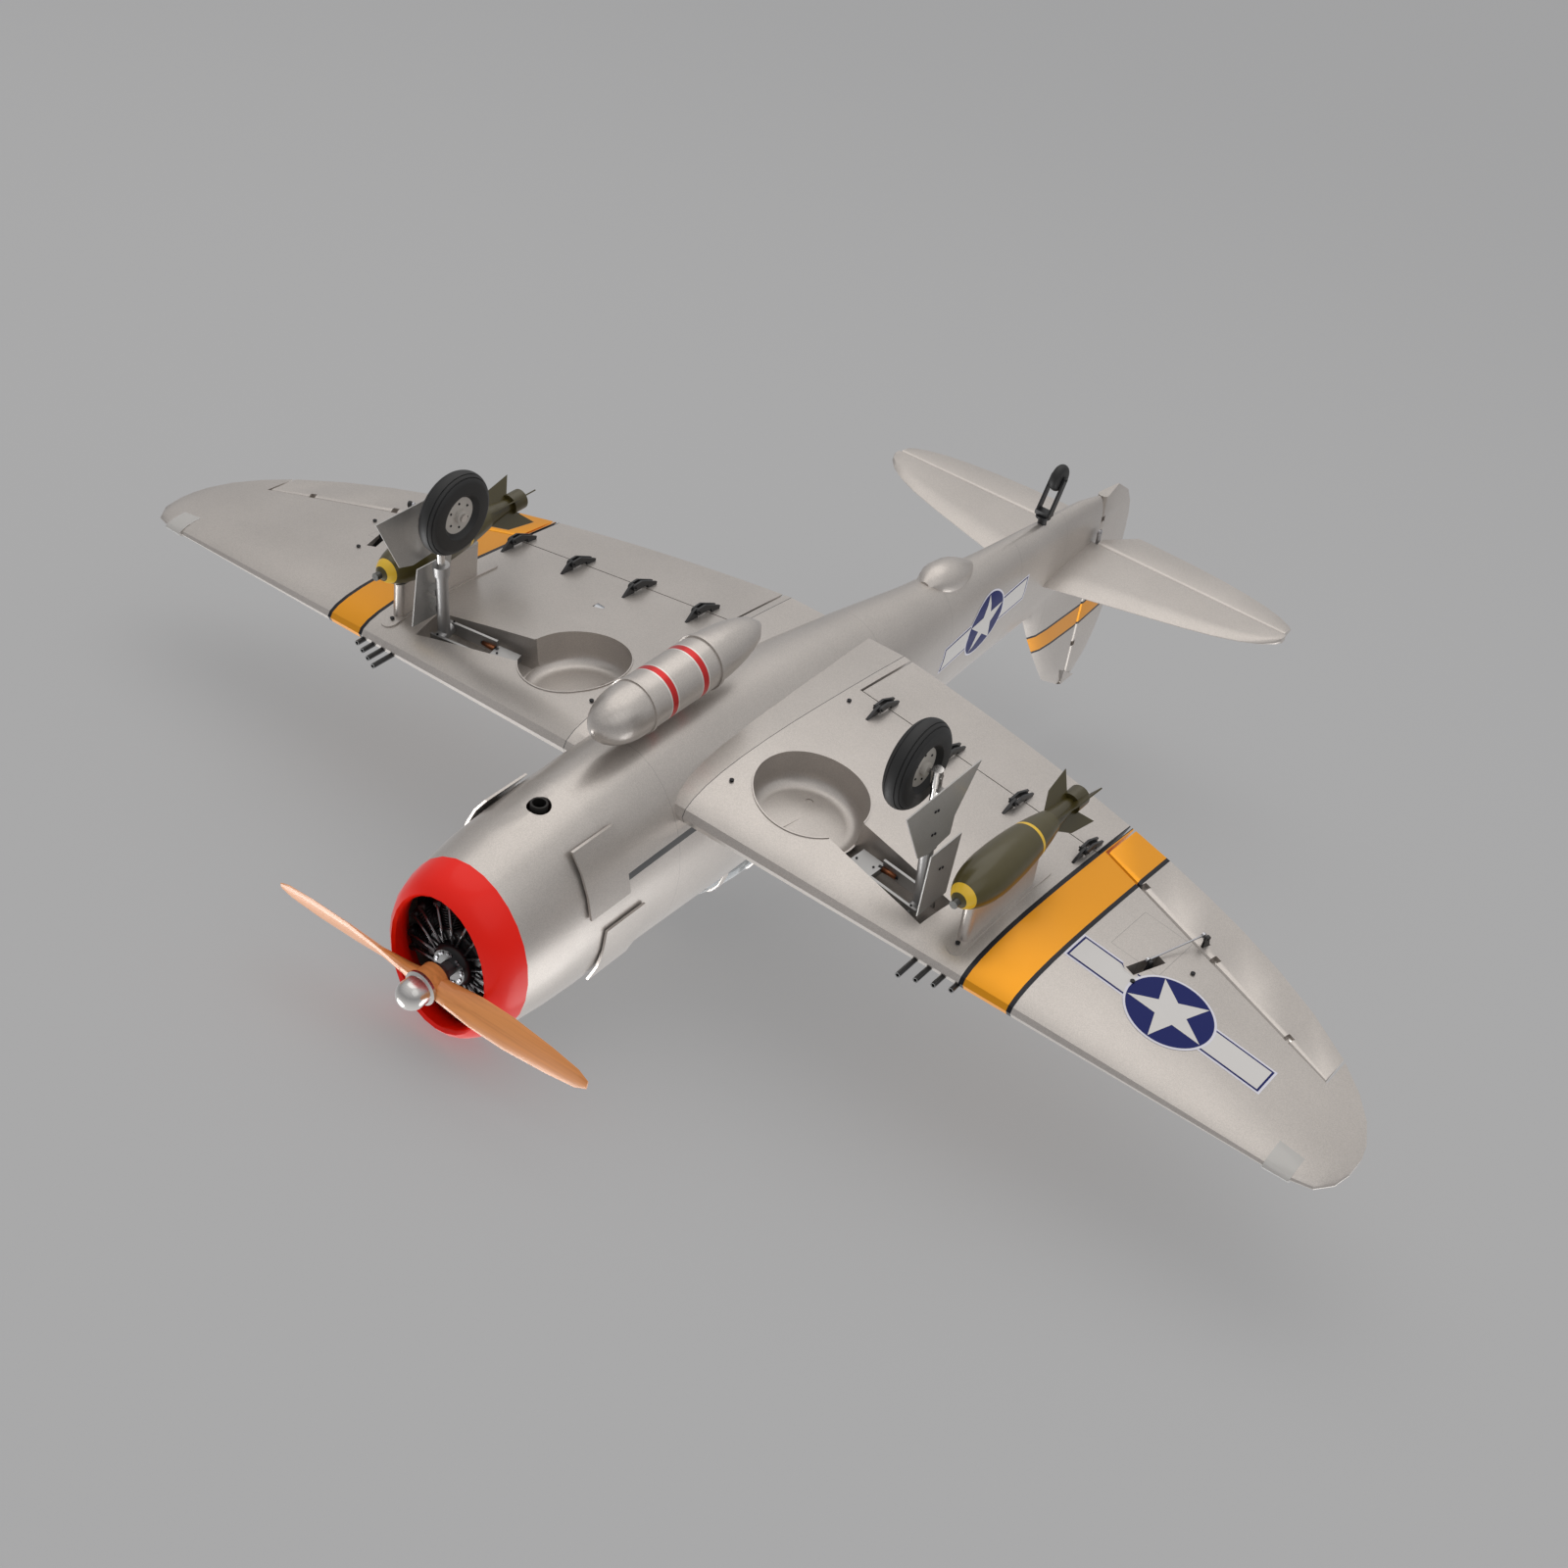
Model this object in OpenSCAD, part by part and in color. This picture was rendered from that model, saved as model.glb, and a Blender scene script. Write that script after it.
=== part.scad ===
// Warbird model plane with a radial cowl, standing on its three wheels.
// Each module is drawn in airframe axes: nose towards -Y, left wing towards +X, thrust line along Y at z = 0,
// wing datum at y = 0. The last lines turn the whole airframe tail-down onto its wheels.

/* [Wing] */
// Span from wing tip to wing tip
span = 1608; // [1340:4:1930]
// Chord of the wing at the joint with the fuselage
root_chord = 400; // [335:5:480]
// Thickness of the wing section as a share of its chord
section_ratio = 0.15; // [0.13:0.005:0.18]
// Upward angle of each wing panel
dihedral = 6.9; // [5.8:0.1:8.3]
// Backward angle of the leading edge
sweep = 6; // [5:0.5:7]
// Distance from the centreline to the wing joint
joint_x = 80; // [74:1:96]
// Depth of the leading edge below the thrust line at the joint
wing_drop = 88; // [80:1:100]
// Diameter of the tube that joins the wing panels
wing_tube_d = 16; // [10:1:18]
// Chord of the flap at its inner end
flap_chord = 100; // [84:1:120]
// Outer end of the flap from the centreline
flap_end = 408; // [380:1:420]
// Length of the aileron along the span
aileron_length = 318; // [265:1:380]
// Chord of the aileron at its inner end
aileron_chord = 54; // [45:1:64]
// Gap between a moving surface and what it moves beside
surface_gap = 1.2; // [1:0.1:1.5]

/* [Fuselage] */
// Distance from the wing datum to the back edge of the cowl
cowl_end = -118; // [-130:1:-110]
// Distance from the wing datum to the rudder hinge
rudder_hinge_y = 993; // [830:1:1190]
// Height of the fin above the thrust line
fin_height = 302; // [255:1:360]
// Widest half width of the fuselage
body_half_width = 86; // [80:1:88]
// Wall of the fuselage shell
body_wall = 3; // [2:0.5:4]
// Wall of the cowl
cowl_wall = 2; // [1.5:0.5:3]

/* [Tail] */
// Span of the stabiliser
stabiliser_span = 614; // [512:2:736]
// Depth of the elevator at its inner end
elevator_chord = 58; // [48:1:68]
// Height of the stabiliser above the thrust line
stabiliser_z = 58; // [52:1:64]
// Depth of the rudder at its widest
rudder_chord = 94; // [80:1:112]
// Diameter of the tail wheel
tail_wheel_d = 36; // [30:1:43]
// Height of the tail wheel's axle below the thrust line
tail_axle_drop = 92; // [86:1:104]

/* [Propeller] */
// Diameter of the propeller
propeller_d = 410; // [341:1:492]
// Diameter of the propeller shaft
shaft_d = 8; // [6:0.5:9.5]
// Diameter of the domed nut
nut_d = 32; // [28:1:38]

/* [Landing gear] */
// Diameter of the main wheels
wheel_d = 96; // [80:1:104]
// Width of the main tyres
tyre_w = 27; // [22:1:30]
// Distance from the centreline to the gear pivot
pivot_x = 322; // [314:1:330]
// Length of the leg from its pivot to the axle
leg_length = 176; // [168:1:186]
// Diameter of the upper strut
strut_d = 14; // [12:0.5:16]
// Diameter of the sliding lower leg
piston_d = 9; // [7.5:0.5:10.5]
// Travel of the sliding lower leg
piston_travel = 8; // [6:0.5:10]
// Diameter of the main axles
axle_d = 5; // [4:0.5:6]
// Angle through which each leg folds
fold_angle = 81; // [80:0.5:84]
// Clear space between a folded wheel and its well
well_clearance = 14; // [10:1:16]

/* [Stores] */
// Diameter of each bomb
bomb_d = 50; // [42:1:60]
// Length of a bomb's body
bomb_length = 168; // [140:1:200]
// Diameter of the drop tank
tank_d = 60; // [50:1:68]
// Length of the drop tank
tank_length = 268; // [224:1:320]
// Diameter of the suspension bore in each pylon
lug_bore_d = 4; // [3:0.5:4.5]

/* [Hidden] */

silver = [0.72, 0.70, 0.68];
olive = [0.33, 0.29, 0.12];
black = [0.06, 0.06, 0.06];
fit = 0.06;                 // radial clearance of a running shaft
clear = 0.6;                // clearance between pieces that move past each other

// ---- helpers -------------------------------------------------------------------------------------------

function sum(v, i = 0) = i == len(v) - 1 ? v[i] : v[i] + sum(v, i + 1);
function centre(ring) = sum(ring) / len(ring);
function facing(ring) = let (c = centre(ring), n = len(ring))
    sum([for (j = [0:n - 1]) cross(ring[j] - c, ring[(j + 1) % n] - c)]);
function backwards(ring) = [for (j = [len(ring) - 1:-1:0]) ring[j]];

// The two triangles between neighbouring points of ring i and ring k, each of n points.
function strip(i, k, n) = [for (j = [0:n - 1]) each
    [[i * n + j, i * n + (j + 1) % n, k * n + (j + 1) % n], [i * n + j, k * n + (j + 1) % n, k * n + j]]];

// Solid through a list of closed flat rings that have the same number of points.
module loft(rings) {
    n = len(rings[0]);
    m = len(rings);
    turn = facing(rings[0]) * (centre(rings[m - 1]) - centre(rings[0])) > 0;
    points = [for (r = rings) each (turn ? backwards(r) : r)];
    first = [for (j = [n - 1:-1:0]) j];
    last = [for (j = [0:n - 1]) (m - 1) * n + j];
    polyhedron(points, concat([first], [for (i = [0:m - 2]) each strip(i, i + 1, n)], [last]), convexity = 6);
}

// Tube-like skin: the rings follow its outside from back to front and return along its inside.
module skin(rings) {
    n = len(rings[0]);
    m = len(rings);
    polyhedron([for (r = rings) each r], [for (i = [0:m - 1]) each strip(i, (i + 1) % m, n)], convexity = 6);
}

module on_side(side) {
    if (side > 0) children();
    else mirror([1, 0, 0]) children();
}

module both_sides() {
    children();
    mirror([1, 0, 0]) children();
}

// Cylinder along Y from y0 to y1, and along X from x0 to x1.
module rod_y(d, y0, y1) {
    translate([0, y1, 0]) rotate([90, 0, 0]) cylinder(d = d, h = y1 - y0, $fn = 40);
}

module rod_x(d, x0, x1) {
    translate([x0, 0, 0]) rotate([0, 90, 0]) cylinder(d = d, h = x1 - x0, $fn = 40);
}

// ---- wing shape ----------------------------------------------------------------------------------------

half_span = span / 2;
le_joint = -18;                                     // leading edge at the wing joint
te_joint = le_joint + root_chord;
tip_y = le_joint + 0.345 * root_chord;              // where leading and trailing edges meet at the tip
edge_t = 0.9;                                       // thickness of the trailing edge

function round_tip(x, power) = sqrt(max(0, 1 - pow(x / half_span, power)));
function le_line(x) = le_joint + (x - joint_x) * tan(sweep);
function le_y(x) = tip_y - (tip_y - le_line(x)) * round_tip(x, 70);
function te_y(x) = tip_y + (te_joint - tip_y) * round_tip(x, 2.2) / round_tip(joint_x, 2.2);
function chord(x) = te_y(x) - le_y(x);
function plane_z(x) = -wing_drop + (x - joint_x) * tan(dihedral);
function ratio(x) = section_ratio * (1 - 0.3 * pow(x / half_span, 2));
function thick(s, x) = edge_t / 2 * s + 5 * ratio(x) * chord(x)
    * (0.2969 * sqrt(s) - 0.126 * s - 0.3516 * s * s + 0.2843 * pow(s, 3) - 0.1036 * pow(s, 4));
function camber(s, x) = 0.05 * chord(x) * s * (1 - s);
function part_of(x, y) = max(0, min(1, (y - le_y(x)) / chord(x)));
function mid_z(x, y) = plane_z(x) + camber(part_of(x, y), x);
function low_z(x, y) = mid_z(x, y) - thick(part_of(x, y), x);
function top_z(x, y) = mid_z(x, y) + thick(part_of(x, y), x);
function low_slope(x) = atan((low_z(x + 20, 90) - low_z(x - 20, 90)) / 40);

section_n = 11;
function section_ring(x) = concat(
    [for (i = [section_n:-1:0]) let (s = 1 - cos(90 * i / section_n))
        [x, le_y(x) + s * chord(x), plane_z(x) + camber(s, x) + thick(s, x)]],
    [for (i = [1:section_n]) let (s = 1 - cos(90 * i / section_n))
        [x, le_y(x) + s * chord(x), plane_z(x) + camber(s, x) - thick(s, x)]]);
station_n = 14;
function station(i) = joint_x + (half_span - 0.8 - joint_x) * sin(90 * i / station_n);

module wing_solid() {
    loft([for (i = [0:station_n]) section_ring(station(i))]);
}

// ---- control surfaces on the wing ----------------------------------------------------------------------

flap_start = joint_x + 12;
flap_gap = 3;                                       // end gap beside a surface
aileron_start = flap_end + 5;
aileron_end = aileron_start + aileron_length;
flap_chord_out = 0.72 * flap_chord;
aileron_chord_out = 0.72 * aileron_chord;
flap_in_y = te_y(flap_start) - flap_chord;
flap_out_y = te_y(flap_end) - flap_chord_out;
ail_in_y = te_y(aileron_start) - aileron_chord;
ail_out_y = te_y(aileron_end) - aileron_chord_out;
function between(x, x0, x1, a, b) = a + (b - a) * (x - x0) / (x1 - x0);
function flap_y(x) = between(x, flap_start, flap_end, flap_in_y, flap_out_y);
function ail_y(x) = between(x, aileron_start, aileron_end, ail_in_y, ail_out_y);
ail_in_z = mid_z(aileron_start, ail_in_y);
ail_out_z = mid_z(aileron_end, ail_out_y);
function ail_z(x) = between(x, aileron_start, aileron_end, ail_in_z, ail_out_z);
function ail_nose(x) = thick(part_of(x, ail_y(x)), x) - 0.3;
ail_yaw = atan((ail_out_y - ail_in_y) / aileron_length);
ail_pitch = atan((ail_out_z - ail_in_z) * cos(ail_yaw) / aileron_length);
nose_n = 6;

// Ring of an aileron-like surface: round nose about the hinge, flat sides to the trailing edge.
function flap_ring(x, hinge_y, hinge_z, nose, te, te_z) = concat(
    [[x, te, te_z + edge_t / 2]],
    [for (i = [0:nose_n]) let (a = 90 + 180 * i / nose_n)
        [x, hinge_y + nose * cos(a), hinge_z + nose * sin(a)]],
    [[x, te, te_z - edge_t / 2]]);

module aileron_solid(x0, x1) {
    loft([for (i = [0:6]) let (x = between(i, 0, 6, x0, x1))
        flap_ring(x, ail_y(x), ail_z(x), ail_nose(x), te_y(x), mid_z(x, te_y(x)))]);
}

module aileron_bay() {
    stations = concat([aileron_start - flap_gap], [for (i = [0:6]) between(i, 0, 6, aileron_start, aileron_end)],
                      [aileron_end + flap_gap]);
    translate([0, 0, -half_span / 2]) linear_extrude(half_span) polygon(concat(
        [for (x = stations) [x, ail_y(x) - ail_nose(x) - surface_gap]],
        [[aileron_end + flap_gap, te_joint + root_chord], [aileron_start - flap_gap, te_joint + root_chord]]));
}

module flap_bay() {
    translate([0, 0, -half_span / 2]) linear_extrude(half_span) polygon([
        [flap_start - flap_gap, flap_in_y - surface_gap],
        [flap_end + 0.01, flap_out_y - surface_gap],
        [flap_end + 0.01, te_joint + root_chord],
        [flap_start - flap_gap, te_joint + root_chord]]);
}

// Frame of the aileron's hinge line: origin on the line at span station x, X along the line.
link_x = aileron_start + 0.44 * aileron_length;
module on_aileron_hinge(x) {
    translate([x, ail_y(x), ail_z(x)]) rotate([0, -ail_pitch, ail_yaw]) children();
}

horn_r = 20;                                        // from the hinge or the arm's pivot to the rod
rod_length = 78;                                    // between the arm's pivot and the hinge
horn_w = 3;
arm_w = 3;
rod_d = 2;
link_pin_d = 1.6;

// ---- flap hinges ---------------------------------------------------------------------------------------

bracket_n = 4;
bracket_first = flap_start + 34;
bracket_step = (flap_end - flap_start - 44) / (bracket_n - 1);
function bracket_x(i) = bracket_first + i * bracket_step;
pivot_drop = 8;                                     // flap pivot below the wing's lower face
flap_pin_d = 2;
bracket_t = 3;
boss_r = 4;
pivot_ahead = 20;                                   // flap pivot ahead of the flap's front edge
flap_axis_in = low_z(flap_start, flap_in_y - pivot_ahead) - pivot_drop;
flap_axis_out = low_z(flap_end, flap_out_y - pivot_ahead) - pivot_drop;
function flap_axis_z(x) = between(x, flap_start, flap_end, flap_axis_in, flap_axis_out);
flap_roll = -atan((flap_axis_out - flap_axis_in) / (flap_end - flap_start));
flap_yaw = atan((flap_out_y - flap_in_y) / (flap_end - flap_start));
module on_flap_hinge(x) {
    translate([x, flap_y(x) - pivot_ahead, flap_axis_z(x)]) rotate([0, flap_roll, flap_yaw]) children();
}

// ---- fuselage shape ------------------------------------------------------------------------------------

tail_stretch = (rudder_hinge_y - 100) / 893;        // stations behind the wing follow the rudder hinge
function fy(y) = y < 100 ? y : 100 + (y - 100) * tail_stretch;
// Station, half width, height of the widest line, top, bottom and how peaked the top is.
body_rows = [
    [cowl_end, 1.00, -16, 99, -139, 1.0],
    [-60, 1.00, -16, 106, -142, 1.0],
    [30, 1.00, -16, 114, -143, 1.05],
    [fy(110), 0.98, -16, 124, -140, 1.1],
    [fy(190), 0.93, -16, 138, -131, 1.25],
    [fy(280), 0.83, -18, 158, -118, 1.4],
    [fy(400), 0.67, -18, 148, -98, 1.5],
    [fy(530), 0.51, -10, 136, -73, 1.5],
    [fy(690), 0.35, 0, 127, -50, 1.45],
    [fy(830), 0.245, 10, 122, -34, 1.35],
    [fy(930), 0.17, 18, 112, -22, 1.2],
    [rudder_hinge_y - 12, 0.12, 26, 104, -8, 1.1]
];
ring_n = 28;
function body_point(a, half, mid, top, bottom, peak) = sin(a) < 0
    ? [half * cos(a), mid + (mid - bottom) * sin(a)]
    : [half * sign(cos(a)) * pow(abs(cos(a)), peak), mid + (top - mid) * sin(a)];
function body_ring(row, inset) = [for (i = [0:ring_n - 1])
    let (p = body_point(360 * i / ring_n, body_half_width * row[1] - inset, row[2],
                        row[3] - inset, row[4] + inset, row[5]))
    [p[0], row[0], p[1]]];

module body_outside() {
    loft([for (row = body_rows) body_ring(row, 0)]);
}

// The hollow runs from the front bulkhead to the row before the tail.
bulkhead = 6;
module body_inside() {
    rows = [for (i = [0:8]) i == 0 ? [body_rows[0][0] + bulkhead, 1, -16, 99, -139, 1] : body_rows[i]];
    loft([for (row = rows) body_ring(row, body_wall * (row[0] > fy(600) ? 1.6 : 1.2))]);
}

module wing_stub() {
    loft([for (x = [-joint_x, joint_x]) [for (p = section_ring(joint_x)) [x, p[1], p[2]]]]);
}

tube_y = le_joint + 0.56 * root_chord;
tube_z = -wing_drop + 6;
tube_half = 225;
module wing_tube_hole() {
    translate([0, tube_y, tube_z]) rod_x(wing_tube_d + 0.2, -tube_half - 2, tube_half + 2);
}

// ---- fin and rudder ------------------------------------------------------------------------------------

fin_base_z = 96;
fin_root_y = rudder_hinge_y - 175;
fin_top_y = rudder_hinge_y - 40;
fin_t = 15;
tail_bottom_z = -6;
rudder_top_z = fin_height - 4;
function fin_le(z) = fin_root_y + (fin_top_y - fin_root_y) * pow((z - fin_base_z) / (fin_height - fin_base_z), 1.15)
    + 26 * pow(max(0, (z - fin_height + 34) / 34), 2);
function fin_half(z) = fin_t / 2 * (1 - 0.35 * (z - fin_base_z) / (fin_height - fin_base_z));
function rudder_half(z) = z < fin_base_z ? fin_t / 2 : fin_half(z);
rudder_mid_z = stabiliser_z + 25;
function rudder_te(z) = rudder_hinge_y + 6 + (rudder_chord - 6)
    * sqrt(max(0.01, 1 - pow(z < rudder_mid_z ? (rudder_mid_z - z) / (rudder_mid_z - tail_bottom_z + 6)
                             : (z - rudder_mid_z) / (rudder_top_z - rudder_mid_z + 6), 2.4)));

fin_back = rudder_hinge_y - fin_t / 2 - surface_gap;
module fin_solid() {
    loft([for (i = [0:7]) let (z = between(i, 0, 7, fin_base_z - 30, fin_height), zz = max(z, fin_base_z),
                               le = fin_le(zz), w = fin_half(zz))
        [[0.5, le, z], [w * 0.75, le + 14, z], [w, le + 40, z], [w, fin_back, z],
         [-w, fin_back, z], [-w, le + 40, z], [-w * 0.75, le + 14, z], [-0.5, le, z]]]);
}

module rudder_solid() {
    loft([for (i = [0:13]) let (z = between(i, 0, 13, tail_bottom_z, rudder_top_z), w = rudder_half(z),
                                te = rudder_te(z))
        concat([for (j = [0:nose_n]) let (a = 180 + 180 * j / nose_n)
                   [w * cos(a), rudder_hinge_y + w * sin(a), z]],
               [[0.6, te, z], [-0.6, te, z]])]);
}

// ---- stabiliser and elevator ---------------------------------------------------------------------------

stab_half = stabiliser_span / 2;
stab_hinge_y = rudder_hinge_y - 22;
stab_root_le = stab_hinge_y - 146;
stab_t = 15;
function stab_le(x) = stab_hinge_y - 8 - (stab_hinge_y - 8 - stab_root_le - x * 0.30)
    * sqrt(max(0.0025, 1 - pow(x / stab_half, 9)));
function stab_half_t(x) = stab_t / 2 * (1 - 0.4 * x / stab_half);
stab_nose_gap = surface_gap;
function stab_ring(x) = let (a = abs(x), le = stab_le(a), w = stab_half_t(a), back = stab_hinge_y - w - stab_nose_gap)
    [[x, le, stabiliser_z + 0.5], [x, between(0.12, 0, 1, le, back), stabiliser_z + w * 0.72],
     [x, between(0.35, 0, 1, le, back), stabiliser_z + w], [x, back, stabiliser_z + w],
     [x, back, stabiliser_z - w], [x, between(0.35, 0, 1, le, back), stabiliser_z - w],
     [x, between(0.12, 0, 1, le, back), stabiliser_z - w * 0.72], [x, le, stabiliser_z - 0.5]];

module stab_solid() {
    side = [for (i = [1:9]) stab_half * 0.995 * sin(90 * i / 9)];
    xs = concat([for (i = [len(side) - 1:-1:0]) -side[i]], [0], side);
    loft([for (x = xs) stab_ring(x)]);
}

elev_start = fin_t / 2 + 12;
elev_end = stab_half * 0.985;
function elev_te(x) = stab_hinge_y + 6 + (elevator_chord - 6) * sqrt(max(0.01, 1 - pow(x / stab_half, 3)));
elev_clear_x = elev_start + elevator_chord * 0.62;
module elevator_half() {
    difference() {
        loft([for (i = [0:8]) let (x = elev_start + (elev_end - elev_start) * sin(90 * i / 8), w = stab_half_t(x))
            flap_ring(x, stab_hinge_y, stabiliser_z, w, elev_te(x), stabiliser_z)]);
        translate([0, 0, stabiliser_z - 40]) linear_extrude(80) polygon([
            [0, stab_hinge_y + 9], [elev_start, stab_hinge_y + 9],
            [elev_clear_x, stab_hinge_y + elevator_chord + 10], [0, stab_hinge_y + elevator_chord + 10]]);
    }
}

joiner_d = 4;
joiner_half = 60;

// ---- sizes of the landing gear -------------------------------------------------------------------------

pivot_y = 62;
pivot_z = low_z(pivot_x, 90) + 10;
wheel_in = 23;                                      // wheel's middle plane inboard of the strut
rake = 17;                                          // axle ahead of the pivot
tilt = 0.15;                                        // the pivot line leans as much in plan as in side view
axle_z = pivot_z - leg_length;
fold_axis = [tilt, 1, -tilt] / norm([tilt, 1, -tilt]);
function turned(v, a, t) = v * cos(t) + cross(a, v) * sin(t) + a * (a * v) * (1 - cos(t));
wheel_centre = [pivot_x - wheel_in, pivot_y - rake, axle_z];
stowed = [pivot_x, pivot_y, pivot_z] + turned([-wheel_in, -rake, -leg_length], fold_axis, fold_angle);
well_r = wheel_d / 2 + well_clearance;
cup_wall = 1.5;
cup_floor_z = stowed[2] + tyre_w / 2 + 4;
strut_end = 96;                                     // from the pivot to the lower end of the upper strut

// Frame of a leg: origin at its pivot, Z up along the leg.
leg_rake = atan(rake / leg_length);
leg_run = norm([0, rake, leg_length]);
module on_leg() {
    translate([pivot_x, pivot_y, pivot_z]) rotate([-leg_rake, 0, 0]) children();
}

// Frame of the wing's lower face above the folded wheel.
module in_wing_face() {
    translate([stowed[0], stowed[1], 0]) rotate([0, -low_slope(stowed[0]), 0]) children();
}

bay_w = 46;
bay_yaw = -atan(tilt);
unit_top = 17;
module gear_bay() {
    in_wing_face() cup_blank(well_r + cup_wall, cup_floor_z + cup_wall, 100);
    translate([pivot_x, pivot_y, pivot_z]) rotate([0, 0, bay_yaw])
        translate([-(pivot_x - stowed[0]), -bay_w / 2, -200]) cube([pivot_x - stowed[0] + 22, bay_w, 200 + unit_top]);
}

// ---- sizes of stores -----------------------------------------------------------------------------------

bomb_x = 382;
bomb_y = 20;
bomb_z = -138;
pylon_y0 = bomb_y + 34;
pylon_y1 = bomb_y + 150;
pylon_t = 14;
plate_y0 = bomb_y + 20;                             // base plate between pylon and wing
plate_y1 = bomb_y + 180;
plate_w = 21;
plate_h = 2;
gun_n = 4;
gun_d = 6;
function gun_x(i) = 354 + 16 * i;

tank_z = -182;
tank_y = -72;

// ---- frame of the standing plane -----------------------------------------------------------------------

tail_axle_y = rudder_hinge_y - 146;
nut_tip_y = -340;
main_y = wheel_centre[1];
main_z = wheel_centre[2];
tail_run = norm([tail_axle_y - main_y, -tail_axle_drop - main_z]);
ground_angle = atan2(-tail_axle_drop - main_z, tail_axle_y - main_y)
    + asin((wheel_d - tail_wheel_d) / 2 / tail_run);
lift = wheel_d / 2 - (main_z * cos(ground_angle) - main_y * sin(ground_angle));
rudder_back = [rudder_hinge_y + rudder_chord, rudder_mid_z];
back_y = rudder_back[0] * cos(ground_angle) + rudder_back[1] * sin(ground_angle);
front_y = nut_tip_y * cos(ground_angle);
mid_y = (back_y + front_y) / 2;

module place() {
    translate([0, -mid_y, lift]) rotate([-ground_angle, 0, 0]) children();
}

// ---- nodes of the airframe -----------------------------------------------------------------------------

joiner_hole_d = joiner_d + 2 * fit;
module fuselage() {
    color(silver) difference() {
        union() {
            body_outside();
            wing_stub();
            fin_solid();
        }
        body_inside();
        stab_solid();
        wing_tube_hole();
        translate([0, stab_hinge_y, stabiliser_z]) rod_x(joiner_hole_d, -60, 60);
        translate([0, tail_pivot_y, -100]) cylinder(d = 12, h = 70, $fn = 40);
        tank_holes();
    }
}

tail_pivot_y = rudder_hinge_y - 168;
module tank_holes() {
    for (y = [tank_y + 80, tank_y + 156])
        translate([0, y, tank_z]) cylinder(d = 6.4, h = -tank_z - 120, $fn = 32);
}

// Cowl rings: station, half width, top and bottom.
cowl_start = -248;
cowl_rows = [
    [cowl_end, body_half_width, 99, -139], [-160, body_half_width, 98, -134],
    [-205, body_half_width - 1.5, 95, -128], [cowl_start, body_half_width - 5, 90, -118]
];
function cowl_ring_at(y, half, top, bottom) = [for (i = [0:ring_n - 1]) let (a = 360 * i / ring_n, mid = (top + bottom) / 2)
    [half * cos(a), y, mid + (top - bottom) / 2 * sin(a)]];
function cowl_rings(inset) = [for (r = cowl_rows) cowl_ring_at(r[0], r[1] - inset, r[2] - inset, r[3] + inset)];
exhaust_y = -150;
exhaust_d = 25;
module cowl() {
    color(silver) difference() {
        skin(concat(cowl_rings(0), [for (i = [len(cowl_rows) - 1:-1:0]) cowl_rings(cowl_wall)[i]]));
        translate([0, exhaust_y, -170]) cylinder(d = exhaust_d, h = 80, $fn = 48);
    }
}

lip_rows = [[0, 0], [-14, 2.5], [-27, 7], [-36.5, 13], [-41, 19], [-38.5, 22.5], [-31, 23], [-20, 20], [-8, 6], [0, 3]];
module cowl_ring() {
    base = cowl_rows[len(cowl_rows) - 1];
    color([0.85, 0.05, 0.03]) skin([for (p = lip_rows)
        cowl_ring_at(base[0] + p[0], base[1] - p[1], base[2] - p[1], base[3] + p[1])]);
}

// Dummy radial engine: crankcase ring with nine finned cylinders.
dummy_y = -262;
cylinder_n = 9;
module dummy_engine() {
    color(black) difference() {
        union() {
            rod_y(74, dummy_y, dummy_y + 33);
            rod_y(54, dummy_y - 10, dummy_y + 1);
            for (i = [0:cylinder_n - 1]) rotate([0, 360 * i / cylinder_n, 0]) translate([0, dummy_y + 13, 30]) {
                cylinder(d = 19, h = 34, $fn = 32);
                for (k = [0:4]) translate([0, 0, 9 + 5 * k]) cylinder(d = 23, h = 1.6, $fn = 32);
            }
            translate([0, dummy_y + 38, -14]) rotate([90, 0, 0]) difference() {
                cylinder(r = 80, h = 8, $fn = 72);
                translate([0, 0, -1]) cylinder(r = 40, h = 10, $fn = 72);
            }
        }
        rod_y(34, dummy_y - 20, dummy_y + 60);
    }
}

engine_front = -214;
engine_back = cowl_end;
module engine() {
    color([0.5, 0.5, 0.52]) difference() {
        union() {
            rod_y(52, engine_front, engine_back - 14);
            for (x = [-26, 26], z = [-26, 26]) translate([x, 0, z]) rod_y(9, engine_back - 40, engine_back);
            translate([-34, engine_back - 44, -34]) cube([68, 8, 68]);
            translate([20, engine_front + 34, 0]) rotate([0, 90, 0]) cylinder(d = 40, h = 46, $fn = 40);
            for (k = [0:4]) translate([32 + 7 * k, engine_front + 34, 0]) rotate([0, 90, 0])
                cylinder(d = 48, h = 2.5, $fn = 40);
        }
        rod_y(shaft_d + 2 * fit, engine_front - 1, engine_back - 60);
    }
}

module muffler() {
    color([0.2, 0.2, 0.2]) difference() {
        union() {
            translate([-18, exhaust_y - 24, -84]) cube([36, 48, 46]);
            translate([0, exhaust_y, -138]) cylinder(d = 18, h = 60, $fn = 40);
        }
        translate([0, exhaust_y, -139]) cylinder(d = 14, h = 60, $fn = 40);
    }
}

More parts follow.
